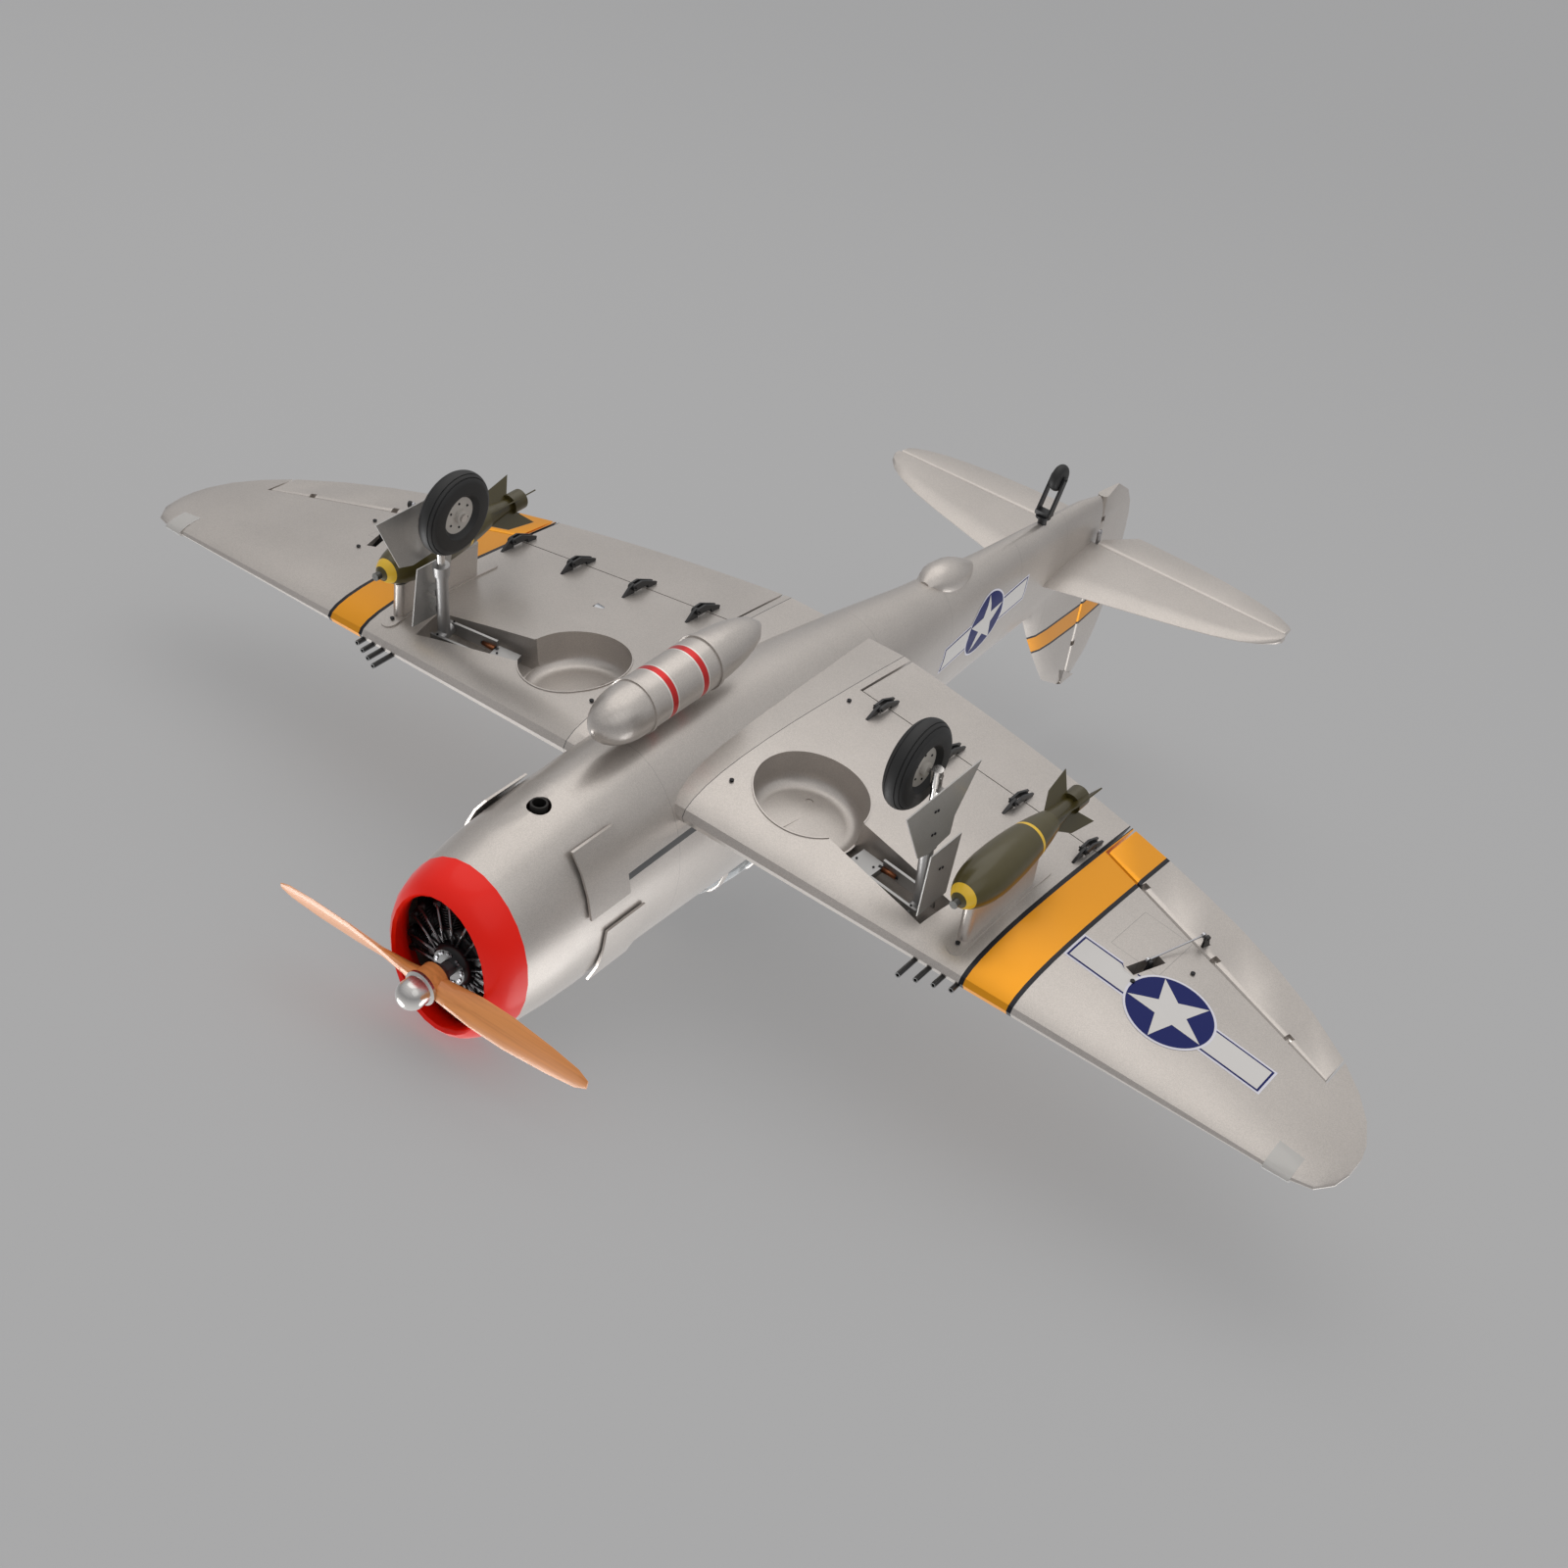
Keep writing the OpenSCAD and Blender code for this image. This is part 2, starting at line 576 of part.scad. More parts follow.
// Air outlets on each side of the cowl: two curved panels whose rear edges stand open.
vent_t = 3;
vent_length = 60;
function side_point(j, out) = let (p = cowl_ring_at(0, body_half_width + 0.8, 108, -144)[(j + ring_n) % ring_n])
    [p[0] + out, p[2]];
module vent_panel(y0, first, last) {
    translate([0, y0 + vent_length, 0]) rotate([90, 0, 0]) linear_extrude(vent_length)
        polygon(concat([for (j = [first:last]) side_point(j, 0.3)], [for (j = [last:-1:first]) side_point(j, 0.3 + vent_t)]));
}
module vent_panels() {
    color(silver) both_sides() {
        vent_panel(cowl_end - 46, -4, -1);
        vent_panel(cowl_end - 22, 0, 3);
    }
}

canopy_y0 = 66;
canopy_y1 = 292;
function canopy_ring(t, inset) = let (y = canopy_y0 + 12 + (canopy_y1 - canopy_y0 - 14) * t,
                                      h = 62 * pow(sin(20 + 118 * t), 0.8), w = 37 * pow(sin(34 + 96 * t), 0.6), base = 104)
    [for (i = [0:10]) let (a = 180 * i / 10) [(w - inset) * cos(a), y, base + (h - inset) * sin(a)]];
module canopy_block(inset, t0, t1) {
    loft([for (i = [0:8]) canopy_ring(between(i, 0, 8, t0, t1), inset)]);
}

module canopy() {
    color([0.75, 0.85, 0.9, 0.6]) difference() {
        canopy_block(0, 0.06, 0.94);
        body_outside();
    }
}

module canopy_frame() {
    color(silver) difference() {
        union() {
            canopy_block(0, 0, 0.06);
            canopy_block(0, 0.94, 1);
            for (t = [0.3, 0.62]) difference() {
                canopy_block(-1.6, t, t + 0.04);
                canopy_block(-0.02, t - 0.02, t + 0.06);
            }
        }
        body_outside();
    }
}

blister_y = 590;
module belly_blister() {
    color(silver) difference() {
        loft([for (i = [0:8]) let (t = i / 8, y = fy(blister_y - 44 + 104 * t), r = 25 * pow(sin(14 + 156 * pow(t, 0.8)), 0.75))
            [for (j = [0:11]) let (a = 360 * j / 12) [r * cos(a), y, -58 + 0.2 * (y - fy(blister_y)) * 0.7 + r * sin(a)]]]);
        body_outside();
    }
}

// Drop tank: domed nose, parallel middle and tapered tail, on two saddle posts.
tank_r = tank_d / 2;
tank_nose = 52;
tank_straight = 96;
module tank_body() {
    tail = tank_length - tank_nose - tank_straight;
    outline = concat([for (a = [0:9:90]) [max(0, tank_r * sin(a)), tank_nose * (1 - cos(a))]],
        [for (i = [0:8]) let (t = i / 8) [tank_r * sqrt(1 - pow(t * 0.985, 2.2)), tank_nose + tank_straight + tail * t]],
        [[0, tank_length]]);
    rotate_extrude($fn = 48) polygon(outline);
}
module drop_tank() {
    color(silver) {
        translate([0, tank_y, tank_z]) rotate([-90, 0, 0]) tank_body();
        for (y = [tank_y + 80, tank_y + 156]) translate([0, y, tank_z + tank_r - 3]) cylinder(d = 6, h = 24, $fn = 32);
    }
}

// Bright clamp rings at the two joints of the tank.
module tank_rings() {
    joints = [[tank_nose + 8, tank_r], [tank_nose + tank_straight + 20, tank_r - 0.6]];
    color([0.85, 0.85, 0.86]) for (p = joints) difference() {
        translate([0, 0, tank_z]) rod_y(2 * tank_r + 3, tank_y + p[0], tank_y + p[0] + 5);
        translate([0, tank_y, tank_z]) rotate([-90, 0, 0]) tank_body();
    }
}

module wing_panel() {
    difference() {
        wing_solid();
        aileron_bay();
        flap_bay();
        gear_bay();
        wing_tube_hole();
        servo_hole();
    }
}
module wing_left() { color(silver) wing_panel(); }
module wing_right() { color(silver) mirror([1, 0, 0]) wing_panel(); }

module wing_tube() {
    color([0.6, 0.6, 0.62]) translate([0, tube_y, tube_z]) difference() {
        rod_x(wing_tube_d, -tube_half, tube_half);
        rod_x(wing_tube_d - 2.4, -tube_half - 1, tube_half + 1);
    }
}

// Deep round cup of each wheel well, with a rounded floor and a raised rim.
rim_h = 1.2;
cup_depth = 46;
module cup_blank(r, z, extra) {
    rotate_extrude($fn = 72) polygon(concat([[0, z]],
        [for (i = [0:5]) let (a = 90 - 18 * i) [r - 16 + 16 * cos(a), z - 16 + 16 * sin(a)]],
        [[r, z - cup_depth - extra], [0, z - cup_depth - extra]]));
}
module well_cups() {
    color(silver) both_sides() difference() {
        in_wing_face() cup_blank(well_r + cup_wall - 0.1, cup_floor_z + cup_wall - 0.1, 10);
        in_wing_face() cup_blank(well_r, cup_floor_z, 20);
        below_wing();
        translate([pivot_x, pivot_y, pivot_z]) rotate([0, 0, bay_yaw])
            translate([-(pivot_x - stowed[0]), -bay_w / 2, -200]) cube([pivot_x - stowed[0] + 22, bay_w, 200 + unit_top - 8]);
        in_wing_face() translate([-14, 30, cup_floor_z - 5]) cylinder(d = 9, h = 20, $fn = 32);
    }
}

// Everything below the wing's lower face, less the height of the rim.
module below_wing() {
    difference() {
        translate([joint_x + 0.1, le_joint, plane_z(stowed[0]) - 160]) cube([240, 220, 160]);
        translate([0, 0, -rim_h]) wing_solid();
    }
}

module bracket_plate() {
    rotate([90, 0, 90]) translate([0, 0, -bracket_t / 2]) linear_extrude(bracket_t) union() {
        circle(r = boss_r, $fn = 32);
        polygon([[-2, -3.4], [2, 3.4], [-2, pivot_drop + 4], [-22, pivot_drop + 4], [-22, pivot_drop - 1], [-8, -2]]);
    }
}

module flap_brackets() {
    color(black) both_sides() difference() {
        for (i = [0:bracket_n - 1]) on_flap_hinge(bracket_x(i)) {
            bracket_plate();
            rod_x(flap_pin_d, -6.5, 6.5);
        }
        wing_solid();
    }
}

lug_gap = 0.5;
lug_t = 2.6;
module flap_half() {
    difference() {
        union() {
            loft([for (i = [0:8]) let (x = between(i, 0, 8, flap_start, flap_end - flap_gap), y0 = flap_y(x))
                concat([for (j = [0:5]) let (y = between(j, 0, 5, te_y(x), y0)) [x, y, top_z(x, y)]],
                       [for (j = [0:5]) let (y = between(j, 0, 5, y0, te_y(x))) [x, y, low_z(x, y)]])]);
            for (i = [0:bracket_n - 1], k = [-1, 1]) on_flap_hinge(bracket_x(i))
                translate([k * (bracket_t / 2 + lug_gap + lug_t / 2), 0, 0]) rotate([90, 0, 90])
                    translate([0, 0, -lug_t / 2]) linear_extrude(lug_t) union() {
                        circle(r = boss_r, $fn = 32);
                        polygon([[0, -boss_r], [0, boss_r], [pivot_ahead + 1.5, boss_r + 1], [pivot_ahead + 3, pivot_drop + 5],
                            [pivot_ahead + 16, pivot_drop + 5], [pivot_ahead + 18, pivot_drop], [12, -boss_r]]);
                    }
        }
        for (i = [0:bracket_n - 1]) on_flap_hinge(bracket_x(i)) rod_x(flap_pin_d + 2 * fit, -9, 9);
    }
}
module flap_left() { color(silver) flap_half(); }
module flap_right() { color(silver) mirror([1, 0, 0]) flap_half(); }

// Hinge points of ailerons and rudder: a pin on the hinge line, held by a small arm.
ail_pin_n = 3;
function ail_pin_x(i) = between(i + 0.5, 0, ail_pin_n, aileron_start, aileron_end);
pin_d = 2;
pin_half = 9;
arm_half = 2;
notch_half = 4;
rudder_pin_z = [30, 150, 235];
function arm_reach(i) = (ail_nose(ail_pin_x(i)) + surface_gap) * cos(ail_yaw) - 0.25;
module hinge_pins() {
    color([0.75, 0.75, 0.77]) {
        both_sides() for (i = [0:ail_pin_n - 1]) on_aileron_hinge(ail_pin_x(i)) {
            rod_x(pin_d, -pin_half, pin_half);
            difference() {
                translate([-arm_half, -arm_reach(i), -1.5]) cube([2 * arm_half, arm_reach(i) + 1, 3]);
                rod_x(pin_d, -pin_half, pin_half);
            }
        }
        for (z = rudder_pin_z) translate([0, rudder_hinge_y, z]) {
            translate([0, 0, -pin_half]) cylinder(d = pin_d, h = 2 * pin_half, $fn = 32);
            difference() {
                translate([-1.5, z < fin_base_z ? -12 : fin_back - rudder_hinge_y, -arm_half])
                    cube([3, (z < fin_base_z ? 12 : rudder_hinge_y - fin_back) + 1, 2 * arm_half]);
                translate([0, 0, -pin_half]) cylinder(d = pin_d, h = 2 * pin_half, $fn = 32);
            }
        }
    }
}

module aileron_half() {
    difference() {
        aileron_solid(aileron_start, aileron_end);
        for (i = [0:ail_pin_n - 1]) on_aileron_hinge(ail_pin_x(i)) {
            rod_x(pin_d + 2 * fit, -pin_half - 1, pin_half + 1);
            translate([-notch_half, -30, -20]) cube([2 * notch_half, 30 + 3.5, 40]);
        }
        on_aileron_hinge(link_x) translate([-horn_w / 2, -3, -20]) cube([horn_w, 12, 20]);
    }
}
module aileron_left() { color(silver) aileron_half(); }
module aileron_right() { color(silver) mirror([1, 0, 0]) aileron_half(); }

// Horn: a round-ended plate let into the aileron under its hinge line.
module horn() {
    on_aileron_hinge(link_x) rotate([90, 0, 90]) translate([0, 0, -horn_w / 2 + 0.01]) difference() {
        union() {
            translate([0, -horn_r, 0]) cylinder(d = 8, h = horn_w - 0.02, $fn = 32);
            linear_extrude(horn_w - 0.02) polygon([[-3, -1], [9, -1], [2.8, -horn_r], [-2.8, -horn_r]]);
        }
        translate([0, -horn_r, -1]) cylinder(d = link_pin_d + 1.2, h = horn_w + 2, $fn = 32);
    }
}
module horn_left() { color(black) horn(); }
module horn_right() { color(black) mirror([1, 0, 0]) horn(); }

servo_box = [14, 40, 22];
module on_servo() {
    on_aileron_hinge(link_x) translate([0, -rod_length, 0]) children();
}
module servo_hole() {
    on_servo() {
        translate([-8, -28, -60]) cube([12, 46, 66]);
        translate([3.9, -24, -13]) cube([servo_box[0] + 0.6, servo_box[1] + 0.4, servo_box[2] + 0.4]);
    }
}
servo_shaft_d = 5;
module servos() {
    color([0.1, 0.1, 0.1]) both_sides() on_servo() {
        translate([4, -23.8, -12.8]) cube(servo_box);
        rod_x(servo_shaft_d, 0.5, 4.5);
    }
}

// Servo arm, in the plane across the hinge line, with a pin for the pushrod.
module servo_arm() {
    on_servo() {
        difference() {
            rotate([90, 0, 90]) translate([0, 0, -arm_w + 0.5]) difference() {
                linear_extrude(arm_w) union() {
                    circle(d = 10, $fn = 32);
                    translate([0, -horn_r]) circle(d = 6, $fn = 32);
                    polygon([[-5, 0], [5, 0], [3, -horn_r], [-3, -horn_r]]);
                }
            }
            rod_x(servo_shaft_d + 2 * fit, 0, 6);
        }
        translate([0, 0, -horn_r]) rod_x(link_pin_d, -7, -2);
    }
}
module servo_arm_left() { color(black) servo_arm(); }
module servo_arm_right() { color(black) mirror([1, 0, 0]) servo_arm(); }

// Pushrod: an eye on the arm's pin, a straight rod, and a free end beside the horn's hole.
module pushrod() {
    on_servo() translate([-5.2, 0, -horn_r]) difference() {
        union() {
            rod_x(6, -1.4, 1.4);
            rod_y(rod_d, 0, rod_length - 2);
            translate([0, rod_length, 0]) rod_x(6, -1.4, 1.4);
        }
        rod_x(link_pin_d + 2 * fit, -3, 3);
        translate([0, rod_length, 0]) rod_x(link_pin_d + 2 * fit, -3, 3);
    }
}
module pushrod_left() { color([0.7, 0.7, 0.7]) pushrod(); }
module pushrod_right() { color([0.7, 0.7, 0.7]) mirror([1, 0, 0]) pushrod(); }

light_x = half_span - 54;
module tip_lights() {
    color([0.9, 0.9, 0.95]) both_sides() intersection() {
        difference() {
            translate([0, -3, 0]) wing_solid();
            wing_solid();
        }
        translate([light_x - 14, le_y(light_x) - 30, plane_z(light_x) - 20]) cube([28, 60, 40]);
    }
}

gun_length = 28;
gun_step = 6.5;
function gun_tip(i) = le_y(gun_x(i)) - gun_length + gun_step * i;
module gun_barrels() {
    color(black) both_sides() difference() {
        for (i = [0:gun_n - 1]) translate([gun_x(i), 0, plane_z(gun_x(i)) + 6]) rod_y(gun_d, gun_tip(i), le_y(gun_x(i)) + 12);
        wing_solid();
        for (i = [0:gun_n - 1]) translate([gun_x(i), 0, plane_z(gun_x(i)) + 6]) rod_y(gun_d - 2.4, gun_tip(i) - 1, gun_tip(i) + 6);
    }
}

// Pylon between wing and bomb, with a cross bore for the suspension pin.
module pylons() {
    color(silver) both_sides() difference() {
        union() {
            hull() for (y = [pylon_y0, pylon_y1]) translate([bomb_x, y, bomb_z]) cylinder(d = pylon_t, h = 110, $fn = 32);
            intersection() {
                translate([0, 0, -plate_h]) wing_solid();
                hull() for (y = [plate_y0, plate_y1]) translate([bomb_x, y, bomb_z]) cylinder(d = plate_w, h = 110, $fn = 32);
            }
        }
        translate([bomb_x, 0, bomb_z]) rod_y(bomb_d, -20, 400);
        translate([0, 0, -0.02]) wing_solid();
        above_wing(bomb_x);
        translate([0, bomb_y + 96, bomb_z + bomb_d / 2 + 9]) rod_x(lug_bore_d, bomb_x - 20, bomb_x + 20);
    }
}
module above_wing(x) {
    translate([x - 40, -20, mid_z(x, 60)]) cube([80, 300, 120]);
}

// Bomb body with a domed nose and a tapered tail, and its four fins with a box ring.
bomb_r = bomb_d / 2;
bomb_nose = 62;
module bomb_body() {
    outline = concat([for (a = [0:10:90]) [max(0, bomb_r * sin(a)), bomb_nose * (1 - cos(a))]],
        [for (i = [1:6]) let (t = i / 6) [bomb_r * (1 - 0.46 * t * t), bomb_nose + (bomb_length - bomb_nose) * t]],
        [[0, bomb_length]]);
    translate([bomb_x, bomb_y, bomb_z]) rotate([-90, 0, 0]) {
        rotate_extrude($fn = 48) polygon(outline);
        translate([0, 0, -6]) cylinder(d = 9, h = 10, $fn = 32);
    }
}
module bomb_left() { color(olive) bomb_body(); }
module bomb_right() { color(olive) mirror([1, 0, 0]) bomb_body(); }

// Four swept fins on a tail cone that ends in a small open drum.
fin_reach = 31;
fin_len = 62;
drum_d = 24;
module bomb_tails() {
    color(olive) both_sides() translate([bomb_x, bomb_y + bomb_length, bomb_z]) rotate([-90, 0, 0]) difference() {
        union() {
            cylinder(d1 = bomb_r, d2 = 14, h = fin_len - 20, $fn = 40);
            translate([0, 0, fin_len - 20]) cylinder(d = drum_d, h = 20, $fn = 40);
            for (a = [45:90:315]) rotate([0, 0, a]) rotate([90, 0, 0]) translate([0, 0, -0.8]) linear_extrude(1.6)
                polygon([[0, 1], [bomb_r * 0.4, 1], [fin_reach - 6, 24], [fin_reach, fin_len], [drum_d / 2 - 1, fin_len - 16], [0, fin_len - 18]]);
        }
        translate([0, 0, fin_len - 16]) cylinder(d = drum_d - 3, h = 30, $fn = 40);
    }
}

// Retract unit: two side plates, a drive block and the pivot pin that carries the leg.
unit_w = 30;
plate_t = 3;
pivot_pin_d = 5;
module on_pivot() {
    translate([pivot_x, pivot_y, pivot_z]) rotate([atan(-tilt / norm([tilt, 1])), 0, bay_yaw]) children();
}
module retract_units() {
    color([0.6, 0.6, 0.62]) both_sides() on_pivot() {
        difference() {
            union() {
                for (y = [-unit_w / 2, unit_w / 2 - plate_t]) translate([-62, y, -8]) cube([70, plate_t, 17]);
                translate([-92, -unit_w / 2, 0]) cube([31, unit_w, 8]);
            }
            rod_y(pivot_pin_d, -30, 30);
        }
        rod_y(pivot_pin_d, -unit_w / 2 - 1.5, unit_w / 2 + 1.5);
    }
}

// Upper strut: a trunnion on the pivot pin and a tube for the sliding lower leg.
trunnion_w = unit_w - 2 * plate_t - 1;
module strut() {
    difference() {
        union() {
            on_pivot() rod_y(15, -trunnion_w / 2, trunnion_w / 2);
            on_leg() translate([0, 0, -strut_end]) cylinder(d = strut_d, h = strut_end, $fn = 40);
            on_leg() translate([0, 0, -strut_end]) cylinder(d = strut_d + 5, h = 12, $fn = 40);
        }
        on_leg() translate([0, 0, -strut_end - 1]) cylinder(d = piston_d + 2 * fit, h = 60, $fn = 40);
        on_pivot() rod_y(pivot_pin_d + 2 * fit, -30, 30);
    }
}
module strut_left() { color([0.75, 0.75, 0.76]) strut(); }
module strut_right() { color([0.75, 0.75, 0.76]) mirror([1, 0, 0]) strut(); }

// Sliding lower leg with its foot and the axle.
foot_w = 12;
axle_in = wheel_in + tyre_w / 2 + 1.7;
module lower_leg() {
    on_leg() {
        translate([0, 0, -leg_run]) cylinder(d = piston_d, h = leg_run - strut_end + 40, $fn = 40);
        translate([0, 0, -leg_run - 7]) cylinder(d = foot_w, h = 20, $fn = 40);
        translate([0, 0, -leg_run]) rod_x(axle_d, -axle_in, 6);
        translate([0, 0, -leg_run]) rod_x(axle_d + 4, -axle_in, -axle_in + 2);
    }
}
module lower_leg_left() { color([0.7, 0.7, 0.72]) lower_leg(); }
module lower_leg_right() { color([0.7, 0.7, 0.72]) mirror([1, 0, 0]) lower_leg(); }

// Doors: thin plates on the outboard side of each leg, each on two stand-off blocks.
door_off = 16;
door_t = 1.5;
module door_plate(points) {
    translate([door_off, 0, 0]) rotate([90, 0, 90]) linear_extrude(door_t) polygon(points);
}
module leg_door() {
    on_leg() {
        door_plate([[-32, -20], [19, -14], [34, -86], [-20, -92]]);
        for (z = [-38, -60]) translate([strut_d / 2 - 0.6, -5, z]) cube([door_off - strut_d / 2 + 0.6, 10, 8]);
    }
}
module leg_door_cut() {
    difference() {
        leg_door();
        strut();
    }
}
module leg_door_left() { color(silver) leg_door_cut(); }
module leg_door_right() { color(silver) mirror([1, 0, 0]) leg_door_cut(); }

module wheel_door() {
    on_leg() difference() {
        union() {
            door_plate([[-26, -102], [10, -102], [14, -124], [52, -leg_run + 6], [-76, -leg_run - 6], [-46, -110]]);
            for (z = [-132, -160]) translate([piston_d / 2 - 0.6, -5, z]) cube([door_off - piston_d / 2 + 0.6, 10, 8]);
        }
        translate([0, 0, -leg_run]) cylinder(d = piston_d, h = leg_run - strut_end + 40, $fn = 40);
    }
}
module wheel_door_left() { color(silver) wheel_door(); }
module wheel_door_right() { color(silver) mirror([1, 0, 0]) wheel_door(); }

module on_wheel() {
    on_leg() translate([-wheel_in, 0, -leg_run]) children();
}
hub_d = 42;
module hub() {
    on_wheel() difference() {
        union() {
            rod_x(hub_d, -7, 7);
            rod_x(14, -tyre_w / 2 + 1, tyre_w / 2 - 1);
        }
        rod_x(axle_d + 2 * fit, -40, 40);
    }
}
module hub_left() { color([0.85, 0.8, 0.7]) hub(); }
module hub_right() { color([0.85, 0.8, 0.7]) mirror([1, 0, 0]) hub(); }

module tyre() {
    r = wheel_d / 2;
    on_wheel() rotate([0, 90, 0]) rotate_extrude($fn = 64) polygon(concat(
        [[hub_d / 2, -7], [hub_d / 2 + 5, -tyre_w / 2 + 1]],
        [for (a = [-70:20:70]) [r - tyre_w / 2 + tyre_w / 2 * cos(a), tyre_w / 2 * sin(a)]],
        [[hub_d / 2 + 5, tyre_w / 2 - 1], [hub_d / 2, 7]]));
}
module tyre_left() { color(black) tyre(); }
module tyre_right() { color(black) mirror([1, 0, 0]) tyre(); }

// ---- propeller -----------------------------------------------------------------------------------------

prop_y = -300;
prop_t = 20;
module prop_shaft() {
    color([0.7, 0.7, 0.72]) {
        rod_y(shaft_d, nut_tip_y + 14, engine_back - 66);
        rod_y(28, prop_y + prop_t / 2, prop_y + prop_t / 2 + 5);
        rod_y(16, prop_y + prop_t / 2, engine_front - 1);
    }
}

// Blade sections: radius share, chord, thickness and pitch angle.
blade_rows = [[0.05, 24, 18, 70], [0.14, 26, 13, 52], [0.3, 33, 8, 34], [0.5, 36, 6, 23], [0.75, 30, 4.2, 16],
              [0.92, 21, 3, 13], [0.985, 9, 2, 12]];
function blade_ring(row) = [for (i = [0:9]) let (a = 360 * i / 10, u = row[1] / 2 * cos(a), v = row[2] / 2 * sin(a))
    [row[0] * propeller_d / 2, prop_y + v * cos(row[3]) + u * sin(row[3]), u * cos(row[3]) - v * sin(row[3])]];
module propeller() {
    color([0.87, 0.6, 0.36]) difference() {
        union() {
            rod_y(34, prop_y - prop_t / 2, prop_y + prop_t / 2);
            for (a = [0, 180]) rotate([0, a, 0]) loft([for (row = blade_rows) blade_ring(row)]);
        }
        rod_y(shaft_d, prop_y - 30, prop_y + 30);
        rod_y(60, prop_y + prop_t / 2, prop_y + prop_t / 2 + 30);
        rod_y(60, prop_y - prop_t / 2 - 30, prop_y - prop_t / 2);
    }
}

module prop_nut() {
    r = nut_d / 2;
    back = prop_y - prop_t / 2;
    color([0.8, 0.8, 0.82]) difference() {
        translate([0, back, 0]) rotate([90, 0, 0]) rotate_extrude($fn = 48) polygon(concat(
            [[0, 0], [r + 3, 0], [r + 3, 3], [r, 4.5]],
            [for (a = [0:10:90]) [r * cos(a), back - nut_tip_y - r + r * sin(a)]]));
        rod_y(shaft_d, nut_tip_y + 14, back + 10);
    }
}

// ---- tail ----------------------------------------------------------------------------------------------

module stabiliser() {
    color(silver) stab_solid();
}

module elevator_left() {
    color(silver) difference() {
        elevator_half();
        translate([0, stab_hinge_y, stabiliser_z]) rod_x(joiner_d, 0, joiner_half);
    }
}
module elevator_right() { mirror([1, 0, 0]) elevator_left(); }

// Joiner rod on the hinge line through the tail, with the horn on its right side.
module elevator_joiner() {
    color(black) {
        translate([0, stab_hinge_y, stabiliser_z]) rod_x(joiner_d, -joiner_half, joiner_half);
        translate([-fin_t / 2 - 9, stab_hinge_y, stabiliser_z]) rotate([90, 0, 90]) translate([0, 0, -1.5]) difference() {
            linear_extrude(3) union() {
                circle(d = 9, $fn = 32);
                translate([0, -20]) circle(d = 10, $fn = 32);
                polygon([[-4, 0], [4, 0], [4, -20], [-4, -20]]);
            }
            translate([0, 0, -1]) cylinder(d = joiner_d, h = 5, $fn = 32);
            translate([0, -20, -1]) cylinder(d = 2.5, h = 5, $fn = 32);
        }
    }
}

module rudder() {
    color(silver) difference() {
        rudder_solid();
        for (z = rudder_pin_z) translate([0, rudder_hinge_y, z]) {
            translate([0, 0, -pin_half - 1]) cylinder(d = pin_d + 2 * fit, h = 2 * pin_half + 2, $fn = 32);
            translate([-20, -20, -notch_half]) cube([40, 20 + 3.5, 2 * notch_half]);
        }
    }
}

// Tail-wheel bracket: a bush under the tail in which the fork's stem turns.
stem_d = 4;
bracket_low = -46;
module tail_bracket() {
    color(black) difference() {
        union() {
            translate([0, tail_pivot_y, bracket_low]) cylinder(d = 11.6, h = 15.8, $fn = 40);
            translate([0, tail_pivot_y, bracket_low]) cylinder(d = 20, h = 3, $fn = 40);
        }
        translate([0, tail_pivot_y, bracket_low - 1]) cylinder(d = stem_d + 2 * fit, h = 30, $fn = 32);
    }
}
tail_tyre_w = 13;
fork_gap = 1;
module tail_fork() {
    arm_x = tail_tyre_w / 2 + fork_gap;
    top = bracket_low - clear - 4;
    color(black) {
        translate([0, tail_pivot_y, top]) cylinder(d = stem_d, h = 18, $fn = 32);
        translate([-arm_x - 3, tail_pivot_y - 6, top - 2]) cube([2 * arm_x + 6, 12, 6]);
        difference() {
            for (x = [-arm_x - 3, arm_x]) hull() {
                translate([x, tail_pivot_y - 5, top]) cube([3, 10, 2]);
                translate([0, tail_axle_y, -tail_axle_drop]) rod_x(8, x, x + 3);
            }
            translate([0, tail_axle_y, -tail_axle_drop]) rod_x(3, -20, 20);
        }
        translate([0, tail_axle_y, -tail_axle_drop]) rod_x(3, -arm_x - 4, arm_x + 4);
    }
}
module tail_wheel() {
    r = tail_wheel_d / 2;
    color([0.1, 0.1, 0.1]) translate([0, tail_axle_y, -tail_axle_drop]) rotate([0, 90, 0]) rotate_extrude($fn = 48)
        polygon(concat([[1.5 + fit, -tail_tyre_w / 2], [r * 0.6, -tail_tyre_w / 2]],
            [for (a = [-60:20:60]) [r - tail_tyre_w / 2 + tail_tyre_w / 2 * cos(a), tail_tyre_w / 2 * sin(a)]],
            [[r * 0.6, tail_tyre_w / 2], [1.5 + fit, tail_tyre_w / 2]]));
}

// Screws with round heads under the wing roots and on the servo hatches.
screw_d = 5;
hatch_x = link_x - 8;
hatch_y = ail_y(link_x) - rod_length;
module screw_at(x, y, drop) {
    translate([x, y, low_z(x, y) - drop - 1.85]) cylinder(d = screw_d, h = 1.3, $fn = 32);
}
module fasteners() {
    color(black) both_sides() {
        for (p = [[joint_x + 14, te_joint - 130], [joint_x + 14, le_joint + 60], [hatch_x - 14, hatch_y - 34], [hatch_x + 22, hatch_y + 30]])
            screw_at(p[0], p[1], 0);
        screw_at(bomb_x, plate_y0 + 2, plate_h);
    }
}

// ---- assembly ------------------------------------------------------------------------------------------

